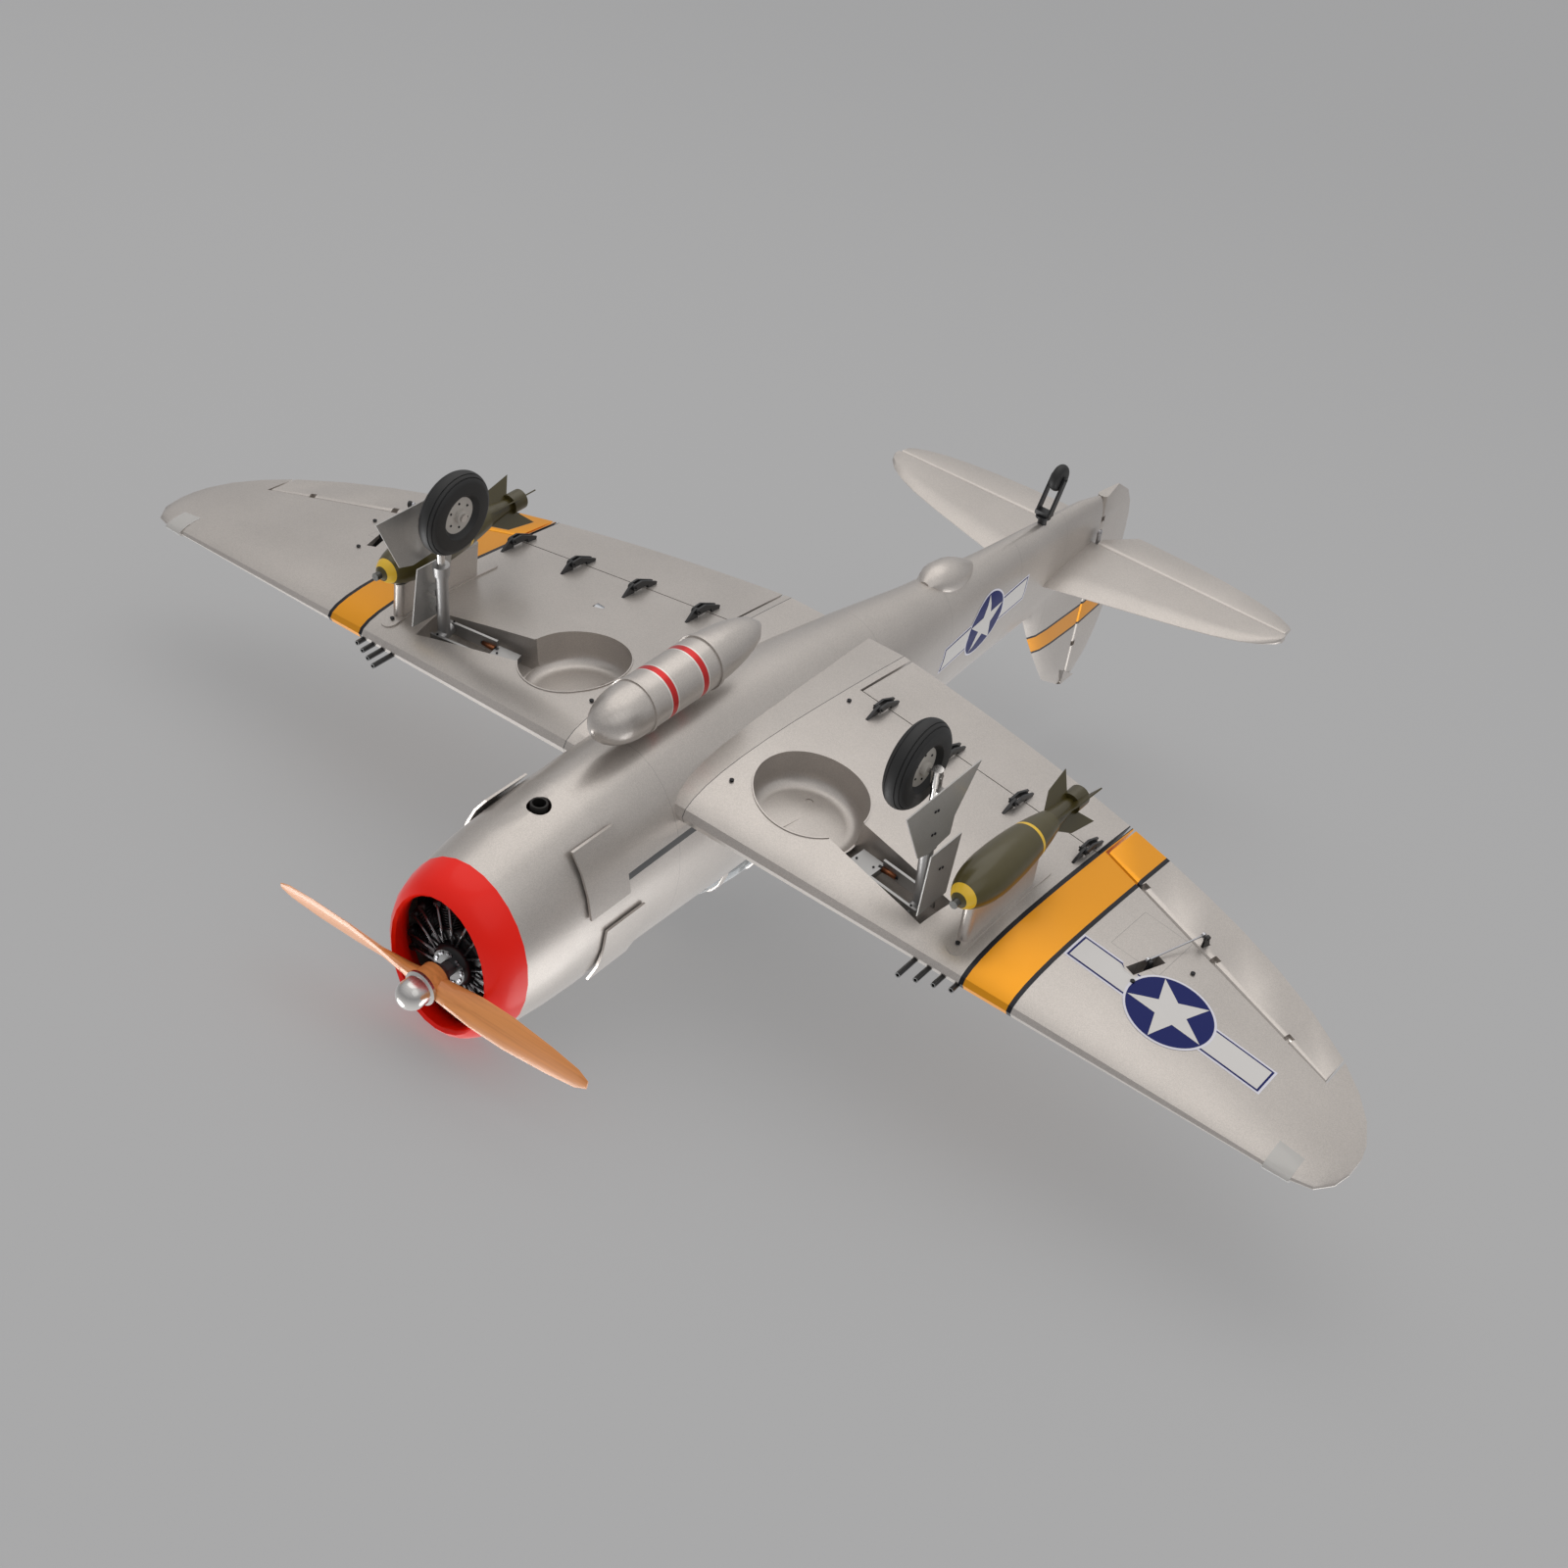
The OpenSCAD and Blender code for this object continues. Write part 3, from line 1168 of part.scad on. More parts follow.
place() {
    fuselage();
    cowl();
    cowl_ring();
    dummy_engine();
    engine();
    muffler();
    vent_panels();
    canopy();
    canopy_frame();
    belly_blister();
    drop_tank();
    tank_rings();
    wing_left();
    wing_right();
    wing_tube();
    well_cups();
    flap_brackets();
    hinge_pins();
    servos();
    tip_lights();
    gun_barrels();
    pylons();
    bomb_left();
    bomb_right();
    bomb_tails();
    retract_units();
    stabiliser();
    tail_bracket();
    fasteners();
    prop_shaft();
    propeller();
    prop_nut();
    aileron_left();
    aileron_right();
    horn_left();
    horn_right();
    servo_arm_left();
    servo_arm_right();
    pushrod_left();
    pushrod_right();
    flap_left();
    flap_right();
    elevator_left();
    elevator_right();
    elevator_joiner();
    rudder();
    tail_fork();
    tail_wheel();
    strut_left();
    strut_right();
    lower_leg_left();
    lower_leg_right();
    leg_door_left();
    leg_door_right();
    wheel_door_left();
    wheel_door_right();
    hub_left();
    hub_right();
    tyre_left();
    tyre_right();
}
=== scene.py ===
import math

import bmesh
import bpy
from mathutils import Matrix, Vector
from mathutils.bvhtree import BVHTree


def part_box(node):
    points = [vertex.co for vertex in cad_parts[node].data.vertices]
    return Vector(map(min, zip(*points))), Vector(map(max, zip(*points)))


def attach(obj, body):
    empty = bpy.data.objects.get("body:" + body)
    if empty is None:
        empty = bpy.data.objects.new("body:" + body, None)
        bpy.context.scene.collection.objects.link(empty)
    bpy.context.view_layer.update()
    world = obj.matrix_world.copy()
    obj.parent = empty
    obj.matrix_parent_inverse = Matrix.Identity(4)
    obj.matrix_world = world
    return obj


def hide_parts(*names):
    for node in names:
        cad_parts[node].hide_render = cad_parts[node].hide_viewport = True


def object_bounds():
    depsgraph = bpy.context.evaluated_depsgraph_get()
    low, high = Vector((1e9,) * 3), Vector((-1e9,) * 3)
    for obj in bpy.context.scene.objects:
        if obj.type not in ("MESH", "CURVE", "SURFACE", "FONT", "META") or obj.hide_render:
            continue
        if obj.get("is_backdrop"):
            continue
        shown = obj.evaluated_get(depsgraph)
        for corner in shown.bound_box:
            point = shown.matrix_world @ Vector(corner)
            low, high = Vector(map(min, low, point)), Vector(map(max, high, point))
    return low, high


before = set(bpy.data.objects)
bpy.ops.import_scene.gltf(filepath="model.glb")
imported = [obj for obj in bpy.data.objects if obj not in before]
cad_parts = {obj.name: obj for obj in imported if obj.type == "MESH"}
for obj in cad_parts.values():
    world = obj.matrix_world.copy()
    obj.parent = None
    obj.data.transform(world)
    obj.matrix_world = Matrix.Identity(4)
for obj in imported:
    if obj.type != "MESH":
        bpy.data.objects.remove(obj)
cad_low, cad_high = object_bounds()

# ---- Studio and camera -----------------------------------------------------------------------------------
# A pale paper floor under the wheels and a second sheet just above the fin and canopy, each seen from one
# side only: the main camera looks up at the belly, so that the model seems to lie on its back. Large soft
# boxes light it from both sides, and neither sheet throws a shadow on it.
scene = bpy.context.scene
scene.view_settings.view_transform = "Standard"
PAPER = (0.46, 0.46, 0.46)
PAPER_GLOW, GLOW_SHARE = (0.405, 0.405, 0.41), 0.55       # even light coming through the sheet
SHEET_HALF = 26


def new_material(name):
    made = bpy.data.materials.new(name)
    made.use_nodes = True
    made.node_tree.nodes.clear()
    return made


def node(material, kind, settings=None, **inputs):
    made = material.node_tree.nodes.new(kind)
    for key, value in (settings or {}).items():
        setattr(made, key, value)
    for key, value in inputs.items():
        key = int(key[1:]) if key[0] == "_" else key.replace("_", " ")
        if isinstance(value, bpy.types.NodeSocket):
            material.node_tree.links.new(value, made.inputs[key])
        else:
            made.inputs[key].default_value = value
    return made


def paper_sheet(name, height, facing_up):
    bm = bmesh.new()
    bmesh.ops.create_grid(bm, x_segments=2, y_segments=2, size=SHEET_HALF)
    bmesh.ops.translate(bm, verts=bm.verts, vec=(0, 0, height))
    if not facing_up:
        bmesh.ops.reverse_faces(bm, faces=bm.faces)
    mesh = bpy.data.meshes.new(name)
    bm.to_mesh(mesh)
    bm.free()
    sheet = bpy.data.objects.new(name, mesh)
    scene.collection.objects.link(sheet)
    paper = new_material(name)
    lit = node(paper, "ShaderNodeBsdfDiffuse", Color=(*PAPER, 1)).outputs[0]
    glow = node(paper, "ShaderNodeEmission", Color=(*PAPER_GLOW, 1)).outputs[0]
    paper_face = node(paper, "ShaderNodeMixShader", _0=GLOW_SHARE, _1=lit, _2=glow)
    behind = node(paper, "ShaderNodeNewGeometry").outputs["Backfacing"]
    shown = node(paper, "ShaderNodeMixShader", _0=behind, _1=paper_face.outputs[0],
                 _2=node(paper, "ShaderNodeBsdfTransparent").outputs[0])
    node(paper, "ShaderNodeOutputMaterial", Surface=shown.outputs[0])
    mesh.materials.append(paper)
    for ray in ("shadow", "diffuse", "glossy", "transmission"):
        setattr(sheet, "visible_" + ray, False)
    sheet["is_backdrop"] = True


paper_sheet("floor_sheet", cad_low.z - 0.001, True)
paper_sheet("backing_sheet", cad_high.z + 0.004, False)

camera_data = bpy.data.cameras.new("camera")
camera_data.lens, camera_data.sensor_width = 55.0, 36.0
camera_data.clip_end = 100
camera = bpy.data.objects.new("camera", camera_data)
camera.matrix_world = Matrix(((-0.7948, 0.4463, -0.4112, -1.1448), (0.5541, 0.2572, -0.7917, -2.2669),
                              (-0.2476, -0.8571, -0.4518, -0.9349), (0, 0, 0, 1)))
scene.collection.objects.link(camera)
scene.camera = camera


def soft_box(name, place, size, power, warmth=1.0):
    lamp = bpy.data.lights.new(name, "AREA")
    lamp.shape, lamp.size, lamp.energy = "DISK", size, power
    lamp.color = (1, 0.5 + 0.5 * warmth, warmth)
    box = bpy.data.objects.new(name, lamp)
    box.location = place
    box.rotation_euler = (Vector((0, 0.1, 0.3)) - Vector(place)).to_track_quat("-Z", "Y").to_euler()
    scene.collection.objects.link(box)


soft_box("key_below", (0.9, 0.3, -3.6), 5.0, 40, 0.93)
soft_box("fill_below", (-2.6, -1.6, -2.4), 3.4, 9)
soft_box("key_above", (1.6, -1.6, 3.2), 2.0, 55)
soft_box("fill_above", (-2.4, 1.4, 2.4), 2.4, 25)
world = bpy.data.worlds.new("studio")
world.use_nodes = True
air = world.node_tree
steep = air.nodes.new("ShaderNodeSeparateXYZ")
air.links.new(air.nodes.new("ShaderNodeTexCoord").outputs["Generated"], steep.inputs[0])
steepness = air.nodes.new("ShaderNodeMath")
steepness.operation = "ABSOLUTE"
air.links.new(steep.outputs["Z"], steepness.inputs[0])
ramp = air.nodes.new("ShaderNodeValToRGB")
ramp.color_ramp.elements[0].color = (0.34, 0.34, 0.35, 1)
ramp.color_ramp.elements[1].color = (0.82, 0.82, 0.82, 1)
air.links.new(steepness.outputs[0], ramp.inputs[0])
air.links.new(ramp.outputs[0], air.nodes["Background"].inputs["Color"])
scene.world = world

# ---- Fuselage, cowl and covers ---------------------------------------------------------------------------
# Moulded glass-fibre shells sprayed with warm silver lacquer: fine metal flake under a satin clear coat.
# The fuselage carries the fin, the wing stub and thin scribed panel lines; the cowl is held on by the nose.
ATTITUDE = math.radians(13.0192)             # the airframe sits this far tail-down on its wheels
AIRFRAME = Matrix.Translation((0, -0.373248, 0.298445)) @ Matrix.Rotation(-ATTITUDE, 4, "X")
SILVER = (0.53, 0.49, 0.455)
LINE_DARK = (0.10, 0.10, 0.10)


def airframe_axes(material):
    """Object coordinates turned into the airframe's own axes: x left, y aft, z up, in metres."""
    back = AIRFRAME.inverted()
    place = node(material, "ShaderNodeTexCoord").outputs["Object"]
    mapped = node(material, "ShaderNodeMapping", Vector=place, Location=back.to_translation(),
                  Rotation=back.to_euler())
    return mapped.outputs[0]


def split(material, vector):
    return node(material, "ShaderNodeSeparateXYZ", Vector=vector).outputs


def sum_of(material, operation, a, b=0.0, c=0.0):
    made = node(material, "ShaderNodeMath", {"operation": operation}, _0=a, _1=b)
    if operation in ("COMPARE", "MULTIPLY_ADD"):
        if isinstance(c, bpy.types.NodeSocket):
            material.node_tree.links.new(c, made.inputs[2])
        else:
            made.inputs[2].default_value = c
    return made.outputs[0]


def between(material, value, low, high):
    return sum_of(material, "COMPARE", value, (low + high) / 2, (high - low) / 2)


def blended(material, mask, under, over):
    under = under if isinstance(under, bpy.types.NodeSocket) else (*under, 1)
    over = over if isinstance(over, bpy.types.NodeSocket) else (*over, 1)
    mix = node(material, "ShaderNodeMix", {"data_type": "RGBA"}, _0=mask, _6=under, _7=over)
    return mix.outputs[2]


def noise(material, scale, detail=3.0, vector=None):
    vector = vector or node(material, "ShaderNodeTexCoord").outputs["Object"]
    return node(material, "ShaderNodeTexNoise", Vector=vector, Scale=scale, Detail=detail).outputs["Fac"]


def ranged(material, value, low, high):
    return node(material, "ShaderNodeMapRange", _0=value, _3=low, _4=high).outputs[0]


def dressed(name, base, rough, metal=0.0, coat=0.0, grain=900.0, grain_depth=0.00002, wear=0.06, colour=None,
            spread=0.12, cloud=9.0, coat_rough=0.12, shine=0.5):
    """A paint, plastic or metal: clouded colour, uneven gloss and a fine grain.

    colour, where given, is a function of (material, tint) that paints over the clouded base."""
    made = new_material(name)
    cloudy = ranged(made, noise(made, cloud, 4.0), 1 - spread, 1 + spread)
    tint = node(made, "ShaderNodeVectorMath", {"operation": "SCALE"}, _0=base, Scale=cloudy).outputs[0]
    if colour:
        tint = colour(made, tint)
    gloss = ranged(made, noise(made, cloud * 3.3, 5.0), rough - wear, rough + wear)
    bump = node(made, "ShaderNodeBump", Strength=0.6, Distance=grain_depth, Height=noise(made, grain, 2.0))
    shader = node(made, "ShaderNodeBsdfPrincipled", Base_Color=tint, Roughness=gloss, Normal=bump.outputs[0],
                  Metallic=metal, Coat_Weight=coat, Coat_Roughness=coat_rough, Specular_IOR_Level=shine)
    node(made, "ShaderNodeOutputMaterial", Surface=shader.outputs[0])
    return made


def flaked(material, tint):
    """Metal flake in the lacquer: tiny lighter specks."""
    place = node(material, "ShaderNodeTexCoord").outputs["Object"]
    fleck = node(material, "ShaderNodeTexVoronoi", Vector=place, Scale=1500.0).outputs["Color"]
    bright = ranged(material, split(material, fleck)[0], 0.90, 1.10)
    return node(material, "ShaderNodeVectorMath", {"operation": "SCALE"}, _0=tint, Scale=bright).outputs[0]


def copied(source, sharp):
    """A welded, smooth-shaded copy of a CAD node: the frame's meshes are loose triangles."""
    bm = bmesh.new()
    bm.from_mesh(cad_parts[source].data)
    bmesh.ops.remove_doubles(bm, verts=bm.verts, dist=2e-5)
    for face in bm.faces:
        face.smooth = True
    for edge in bm.edges:
        edge.smooth = edge.calc_face_angle(0) < math.radians(sharp)
    return bm


def built(bm, name, material, slot, body, *stands_for):
    """Turns a bmesh into a piece at the origin, on its body, in place of CAD nodes."""
    mesh = bpy.data.meshes.new(name)
    bm.to_mesh(mesh)
    bm.free()
    piece = bpy.data.objects.new(name, mesh)
    scene.collection.objects.link(piece)
    for each in material if isinstance(material, list) else [material]:
        mesh.materials.append(each)
    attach(piece, body)
    if stands_for:
        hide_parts(*stands_for)
    return piece


def shell(source, material, slot, body="airframe", sharp=34.0):
    return built(copied(source, sharp), source + "_shell", material, slot, body, source)


BAND_YELLOW = (0.85, 0.34, 0.008)
BAND_BLACK = (0.012, 0.013, 0.018)


def fuselage_paint(material, tint):
    x, y, z = split(material, airframe_axes(material))
    across = sum_of(material, "ABSOLUTE", x)
    lines = between(material, y, -0.0204, -0.0198)
    for station in (0.392, 0.560, 0.745, 0.872):
        lines = sum_of(material, "MAXIMUM", lines, between(material, y, station, station + 0.0005))
    joint = between(material, across, 0.0792, 0.081)
    joint = sum_of(material, "MULTIPLY", joint, sum_of(material, "LESS_THAN", z, -0.05))
    lines = sum_of(material, "MULTIPLY", lines, 0.35)
    tint = blended(material, sum_of(material, "MAXIMUM", lines, joint), flaked(material, tint), LINE_DARK)
    leaning = sum_of(material, "MULTIPLY_ADD", y, -0.03, z)
    for low, high, colour in ((0.134, 0.172, BAND_BLACK), (0.138, 0.168, BAND_YELLOW)):
        on_fin = sum_of(material, "MULTIPLY", between(material, leaning, low, high),
                        sum_of(material, "GREATER_THAN", y, 0.80))
        tint = blended(material, on_fin, tint, colour)
    return tint


silver_body = dressed("silver_body", SILVER, 0.36, metal=0.68, coat=0.18, colour=fuselage_paint)
silver = dressed("silver_lacquer", SILVER, 0.36, metal=0.68, coat=0.18, colour=flaked)
shell("fuselage", silver_body, "silver", sharp=30)
for part in ("cowl", "vent_panels", "belly_blister"):
    shell(part, silver, "silver")

# ---- Nose ring and dummy engine --------------------------------------------------------------------------
# A glossy red lacquered lip is glued round the cowl's mouth. Behind it sits a moulded black radial engine:
# a crankcase with bolts, nine finned cylinders, and bright pushrod tubes that catch the light.
red = dressed("red_gloss", (0.92, 0.010, 0.001), 0.30, coat=0.10, shine=0.25, spread=0.04, wear=0.03,
              grain=300, grain_depth=0.00001, coat_rough=0.05)
black_moulding = dressed("black_moulding", (0.006, 0.006, 0.007), 0.34, spread=0.3, wear=0.1, shine=0.35)
bright_tube = dressed("bright_tube", (0.20, 0.20, 0.21), 0.25, metal=0.9, spread=0.3, wear=0.05)
shell("cowl_ring", red, "red", sharp=50)
shell("muffler", dressed("sooty_steel", (0.03, 0.028, 0.026), 0.6, metal=0.6), "dark_metal")
cast_alloy = dressed("cast_alloy", (0.42, 0.42, 0.43), 0.45, metal=0.9, grain=500, grain_depth=0.0001)
shell("engine", cast_alloy, "cast_metal")

MM = Matrix.Diagonal((0.001, 0.001, 0.001, 1))
DUMMY_FACE = -262.0


def tube(bm, a, b, r, r_end=None, sides=16, material=0):
    """A round rod or taper between two points, in millimetres."""
    a, b = Vector(a), Vector(b)
    turn = (b - a).to_track_quat("Z", "Y").to_matrix().to_4x4()
    r_end = r if r_end is None else r_end
    made = bmesh.ops.create_cone(bm, cap_ends=True, segments=sides, radius1=r, radius2=r_end,
                                 depth=(b - a).length, matrix=Matrix.Translation((a + b) / 2) @ turn)
    for face in {f for v in made["verts"] for f in v.link_faces}:
        face.material_index = material
        face.smooth = len(face.verts) == 4


engine = bmesh.new()
tube(engine, (0, DUMMY_FACE - 10, 0), (0, DUMMY_FACE + 2, 0), 20, 27, 48)
tube(engine, (0, DUMMY_FACE, 0), (0, DUMMY_FACE + 33, 0), 37, None, 48)
for i in range(9):
    turn = Matrix.Rotation(math.radians(40 * i), 4, "Y")
    first = len(engine.verts)
    tube(engine, (0, DUMMY_FACE + 13, 30), (0, DUMMY_FACE + 13, 66), 9, None, 24)
    for k in range(9):
        z = 35 + 3.0 * k
        tube(engine, (0, DUMMY_FACE + 13, z), (0, DUMMY_FACE + 13, z + 1.1), 12.2 - 0.15 * k, None, 24)
    tube(engine, (0, DUMMY_FACE + 13, 61), (0, DUMMY_FACE + 13, 67.5), 8.5, 5, 24)
    for side in (-1, 1):
        tube(engine, (6 * side, DUMMY_FACE - 3, 24), (8.5 * side, DUMMY_FACE + 3, 66), 1.5, None, 10, 1)
        tube(engine, (9 * side, DUMMY_FACE + 2, 62), (9 * side, DUMMY_FACE + 14, 66), 4.2, 3.2, 14)
        tube(engine, (4 * side, DUMMY_FACE - 11, 16), (4 * side, DUMMY_FACE - 8, 16), 1.6, None, 6, 1)
    tube(engine, (3, DUMMY_FACE - 1, 34), (13, DUMMY_FACE + 8, 56), 0.8, None, 8)
    engine.verts.ensure_lookup_table()
    bmesh.ops.transform(engine, matrix=turn, verts=engine.verts[first:])
tube(engine, (0, DUMMY_FACE + 30, -14), (0, DUMMY_FACE + 38, -14), 80, None, 72)
bmesh.ops.transform(engine, matrix=AIRFRAME @ MM, verts=engine.verts)
built(engine, "dummy_engine_moulding", [black_moulding, bright_tube], "black_plastic", "airframe",
      "dummy_engine")

# ---- Canopy ----------------------------------------------------------------------------------------------
# A blown clear canopy with a painted metal frame, glued on the fuselage's top, and the two clear moulded
# lenses let into the wing tips' leading edges.
glass = new_material("clear_canopy")
glass_bump = node(glass, "ShaderNodeBump", Strength=0.2, Distance=0.0002, Height=noise(glass, 30.0))
glass_shader = node(glass, "ShaderNodeBsdfPrincipled", Base_Color=(0.80, 0.86, 0.88, 1), Roughness=0.04,
                    IOR=1.49, Transmission_Weight=0.9, Normal=glass_bump.outputs[0])
node(glass, "ShaderNodeOutputMaterial", Surface=glass_shader.outputs[0])
shell("canopy", glass, "clear")
shell("canopy_frame", silver, "silver")
lens = new_material("clear_lens")
lens_bump = node(lens, "ShaderNodeBump", Strength=0.2, Distance=0.0002, Height=noise(lens, 60.0))
lens_shader = node(lens, "ShaderNodeBsdfPrincipled", Base_Color=(0.62, 0.60, 0.57, 1), Roughness=0.12,
                   IOR=1.49, Transmission_Weight=0.25, Coat_Weight=0.6, Normal=lens_bump.outputs[0])
node(lens, "ShaderNodeOutputMaterial", Surface=lens_shader.outputs[0])
shell("tip_lights", lens, "clear")

# ---- Drop tank -------------------------------------------------------------------------------------------
# A moulded silver tank under the belly: raised joint rings, and two red bands with pale edges painted round.
TANK_BANDS = ((0.0205, 0.0062), (0.0705, 0.0062))          # middle and half width of each
BAND_PALE = 0.002                                          # width of its pale edges


def tank_paint(material, tint):
    tint = flaked(material, tint)
    y = split(material, airframe_axes(material))[1]
    for centre, half in TANK_BANDS:
        tint = blended(material, between(material, y, centre - half, centre + half), tint, (0.72, 0.70, 0.66))
        inside = between(material, y, centre - half + BAND_PALE, centre + half - BAND_PALE)
        tint = blended(material, inside, tint, (0.62, 0.02, 0.02))
    return tint


shell("drop_tank", dressed("silver_tank", SILVER, 0.33, metal=0.68, coat=0.22, colour=tank_paint), "silver")
shell("tank_rings", silver, "silver")

# ---- Wings and their moving surfaces ---------------------------------------------------------------------
# Foam-cored panels sheeted in balsa, filmed and lacquered silver. A yellow band with black edges is sprayed
# right round each panel, over the flap and aileron too; round wheel wells and gear bays are moulded in.
BAND = (0.4040, 0.4625)
BAND_EDGE = 0.0050


def wing_paint(material, tint):
    x, y = split(material, airframe_axes(material))[:2]
    across = sum_of(material, "ABSOLUTE", x)
    tint = flaked(material, tint)
    spanwise = sum_of(material, "MAXIMUM", between(material, y, 0.1700, 0.1706),
                      between(material, y, 0.2420, 0.2426))
    chordwise = sum_of(material, "MAXIMUM", between(material, across, 0.4870, 0.4876),
                       between(material, across, 0.5444, 0.5450))
    hatch = sum_of(material, "MAXIMUM",
                   sum_of(material, "MULTIPLY", between(material, across, 0.487, 0.545), spanwise),
                   sum_of(material, "MULTIPLY", between(material, y, 0.170, 0.2426), chordwise))
    tint = blended(material, sum_of(material, "MULTIPLY", hatch, 0.45), tint, LINE_DARK)
    tint = blended(material, between(material, across, *BAND), tint, BAND_BLACK)
    yellow = between(material, across, BAND[0] + BAND_EDGE, BAND[1] - BAND_EDGE)
    return blended(material, yellow, tint, BAND_YELLOW)


silver_wing = dressed("silver_wing", SILVER, 0.36, metal=0.68, coat=0.18, colour=wing_paint)
black_plastic = dressed("black_plastic", (0.014, 0.014, 0.015), 0.38, spread=0.25, wear=0.08)
LUG_REACH = 0.0049                               # a lug's outer face from its bracket's middle


def flap_hinge(sign):
    """The flap hinge's direction on one side, and the brackets' middles along it."""
    corners = [v.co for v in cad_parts["flap_brackets"].data.vertices if v.co.x * sign > 0]
    inner, outer = (edge(abs(c.x) for c in corners) for edge in (min, max))
    first = [c for c in corners if abs(c.x) < inner + 0.02]
    last = [c for c in corners if abs(c.x) > outer - 0.02]
    axis = (sum(last, Vector()) / len(last) - sum(first, Vector()) / len(first)).normalized()
    middles, reached = [], []
    for along in sorted(c.dot(axis) for c in corners) + [math.inf]:
        if reached and along - reached[-1] > 0.02:
            middles.append((reached[0] + reached[-1]) / 2)
            reached = []
        reached.append(along)
    return axis, middles


for side in ("left", "right"):
    shell("wing_" + side, silver_wing, "silver", sharp=30)
    flap = shell("flap_" + side, silver_wing, "silver", "flap_" + side, sharp=30)
    flap.data.materials.append(black_plastic)    # the flap's lugs are the black brackets' other halves
    axis, middles = flap_hinge(1 if side == "left" else -1)
    for face in flap.data.polygons:
        spots = [flap.data.vertices[i].co.dot(axis) for i in face.vertices]
        if any(all(abs(spot - middle) < LUG_REACH for spot in spots) for middle in middles):
            face.material_index = 1
    shell("aileron_" + side, silver_wing, "silver", "aileron_" + side, sharp=30)
shell("well_cups", silver, "silver")

# ---- Wing markings ---------------------------------------------------------------------------------------
# A generic star disc with two bars, cut from thin film and stuck under the right panel: pale border, blue
# ground, white star and bars. The film follows the wing's skin.
WING_STAR = (-578.0, 136.0)
DISC_R = 46.0
FILM_LAYERS = (0.08, 0.16, 0.30)                 # height of each film over the skin, mm
DISC_LIFT = 0.25                                 # the disc and its star lie over the bars
BAR_START, BAR_END, BAR_HALF = 30.0, 113.0, 18.5
PALE_EDGE, BLUE_LINE = 2.4, 2.2
FILM_WHITE, FILM_BLUE, FILM_PALE = (0.66, 0.64, 0.62), (0.003, 0.009, 0.11), (0.70, 0.69, 0.76)
film_finish = dict(rough=0.42, shine=0.2, spread=0.03, grain=600, grain_depth=0.00001)
films = [dressed("film_pale", FILM_PALE, **film_finish), dressed("film_blue", FILM_BLUE, **film_finish),
         dressed("film_white", FILM_WHITE, **film_finish)]


def flat_shape(bm, outline, layer):
    face = bm.faces.new([bm.verts.new((p[0], p[1], layer)) for p in outline])
    face.material_index = layer
    return face


def cut_fine(bm, step, low, high):
    """Slices the flat film so that it can follow the skin."""
    for axis in (0, 1):
        n = int((high[axis] - low[axis]) / step)
        for k in range(1, n):
            at, normal = [0, 0, 0], [0, 0, 0]
            at[axis], normal[axis] = low[axis] + k * (high[axis] - low[axis]) / n, 1
            bmesh.ops.bisect_plane(bm, geom=bm.verts[:] + bm.edges[:] + bm.faces[:], plane_co=at,
                                   plane_no=normal)


def round_outline(r, n=64):
    return [(r * math.cos(math.tau * i / n), r * math.sin(math.tau * i / n)) for i in range(n)]


def oblong(x0, x1, y0, y1):
    return [(x0, y0), (x1, y0), (x1, y1), (x0, y1)]


def star_outline(r, inner=0.382, turn=0.0):
    return [((r if i % 2 == 0 else r * inner) * math.cos(math.tau * i / 10 + turn),
             (r if i % 2 == 0 else r * inner) * math.sin(math.tau * i / 10 + turn)) for i in range(10)]


def star_film(name, skin_of, origin, along, up, inward, scale, turn):
    """The film lies in the plane of along and up at origin, and is pressed inward on to the skin."""
    bm = bmesh.new()
    long, high = BAR_END + PALE_EDGE, BAR_HALF + PALE_EDGE
    flat_shape(bm, oblong(-long, long, -high, high), 0)
    flat_shape(bm, round_outline(DISC_R + 2.6), 0)
    for sign in (-1, 1):
        flat_shape(bm, oblong(*sorted((sign * BAR_START, sign * BAR_END)), -BAR_HALF, BAR_HALF), 1)
        flat_shape(bm, oblong(*sorted((sign * BAR_START, sign * (BAR_END - BLUE_LINE))),
                              -BAR_HALF + BLUE_LINE, BAR_HALF - BLUE_LINE), 2)
    flat_shape(bm, round_outline(DISC_R), 1)
    flat_shape(bm, star_outline(DISC_R - 1.0, turn=math.radians(turn)), 2)
    for face in bm.faces:
        for v in face.verts:
            v.co.z = FILM_LAYERS[round(v.co.z)] + (DISC_LIFT if len(face.verts) > 4 else 0)
    cut_fine(bm, 6.0, (-BAR_END - 3, -DISC_R - 3), (BAR_END + 3, DISC_R + 3))
    skin = BVHTree.FromObject(bpy.data.objects[skin_of], bpy.context.evaluated_depsgraph_get())
    to_row = AIRFRAME.to_3x3()
    for v in bm.verts:
        flat = Vector(origin) + scale * (v.co.x * Vector(along) + v.co.y * Vector(up))
        hit = skin.ray_cast(AIRFRAME @ (flat / 1000), to_row @ Vector(inward))
        if hit[0] is None:
            raise RuntimeError("the film hangs off the skin at " + str(flat))
        v.co = hit[0] + hit[1] * v.co.z / 1000
    for face in bm.faces:
        face.normal_update()
        if face.normal.dot(to_row @ Vector(inward)) > 0:
            face.normal_flip()
        face.smooth = True
    return built(bm, name, films, "silver", "airframe")


star_film("wing_star", "wing_right_shell", (*WING_STAR, -300), (1, 0, 0), (0, 1, 0), (0, 0, 1), 1.0, -90)
star_film("fuselage_star", "fuselage_shell", (-200, 660, 26), (0, 1, 0), (0, 0, 1), (1, 0, 0), 0.95, -90)

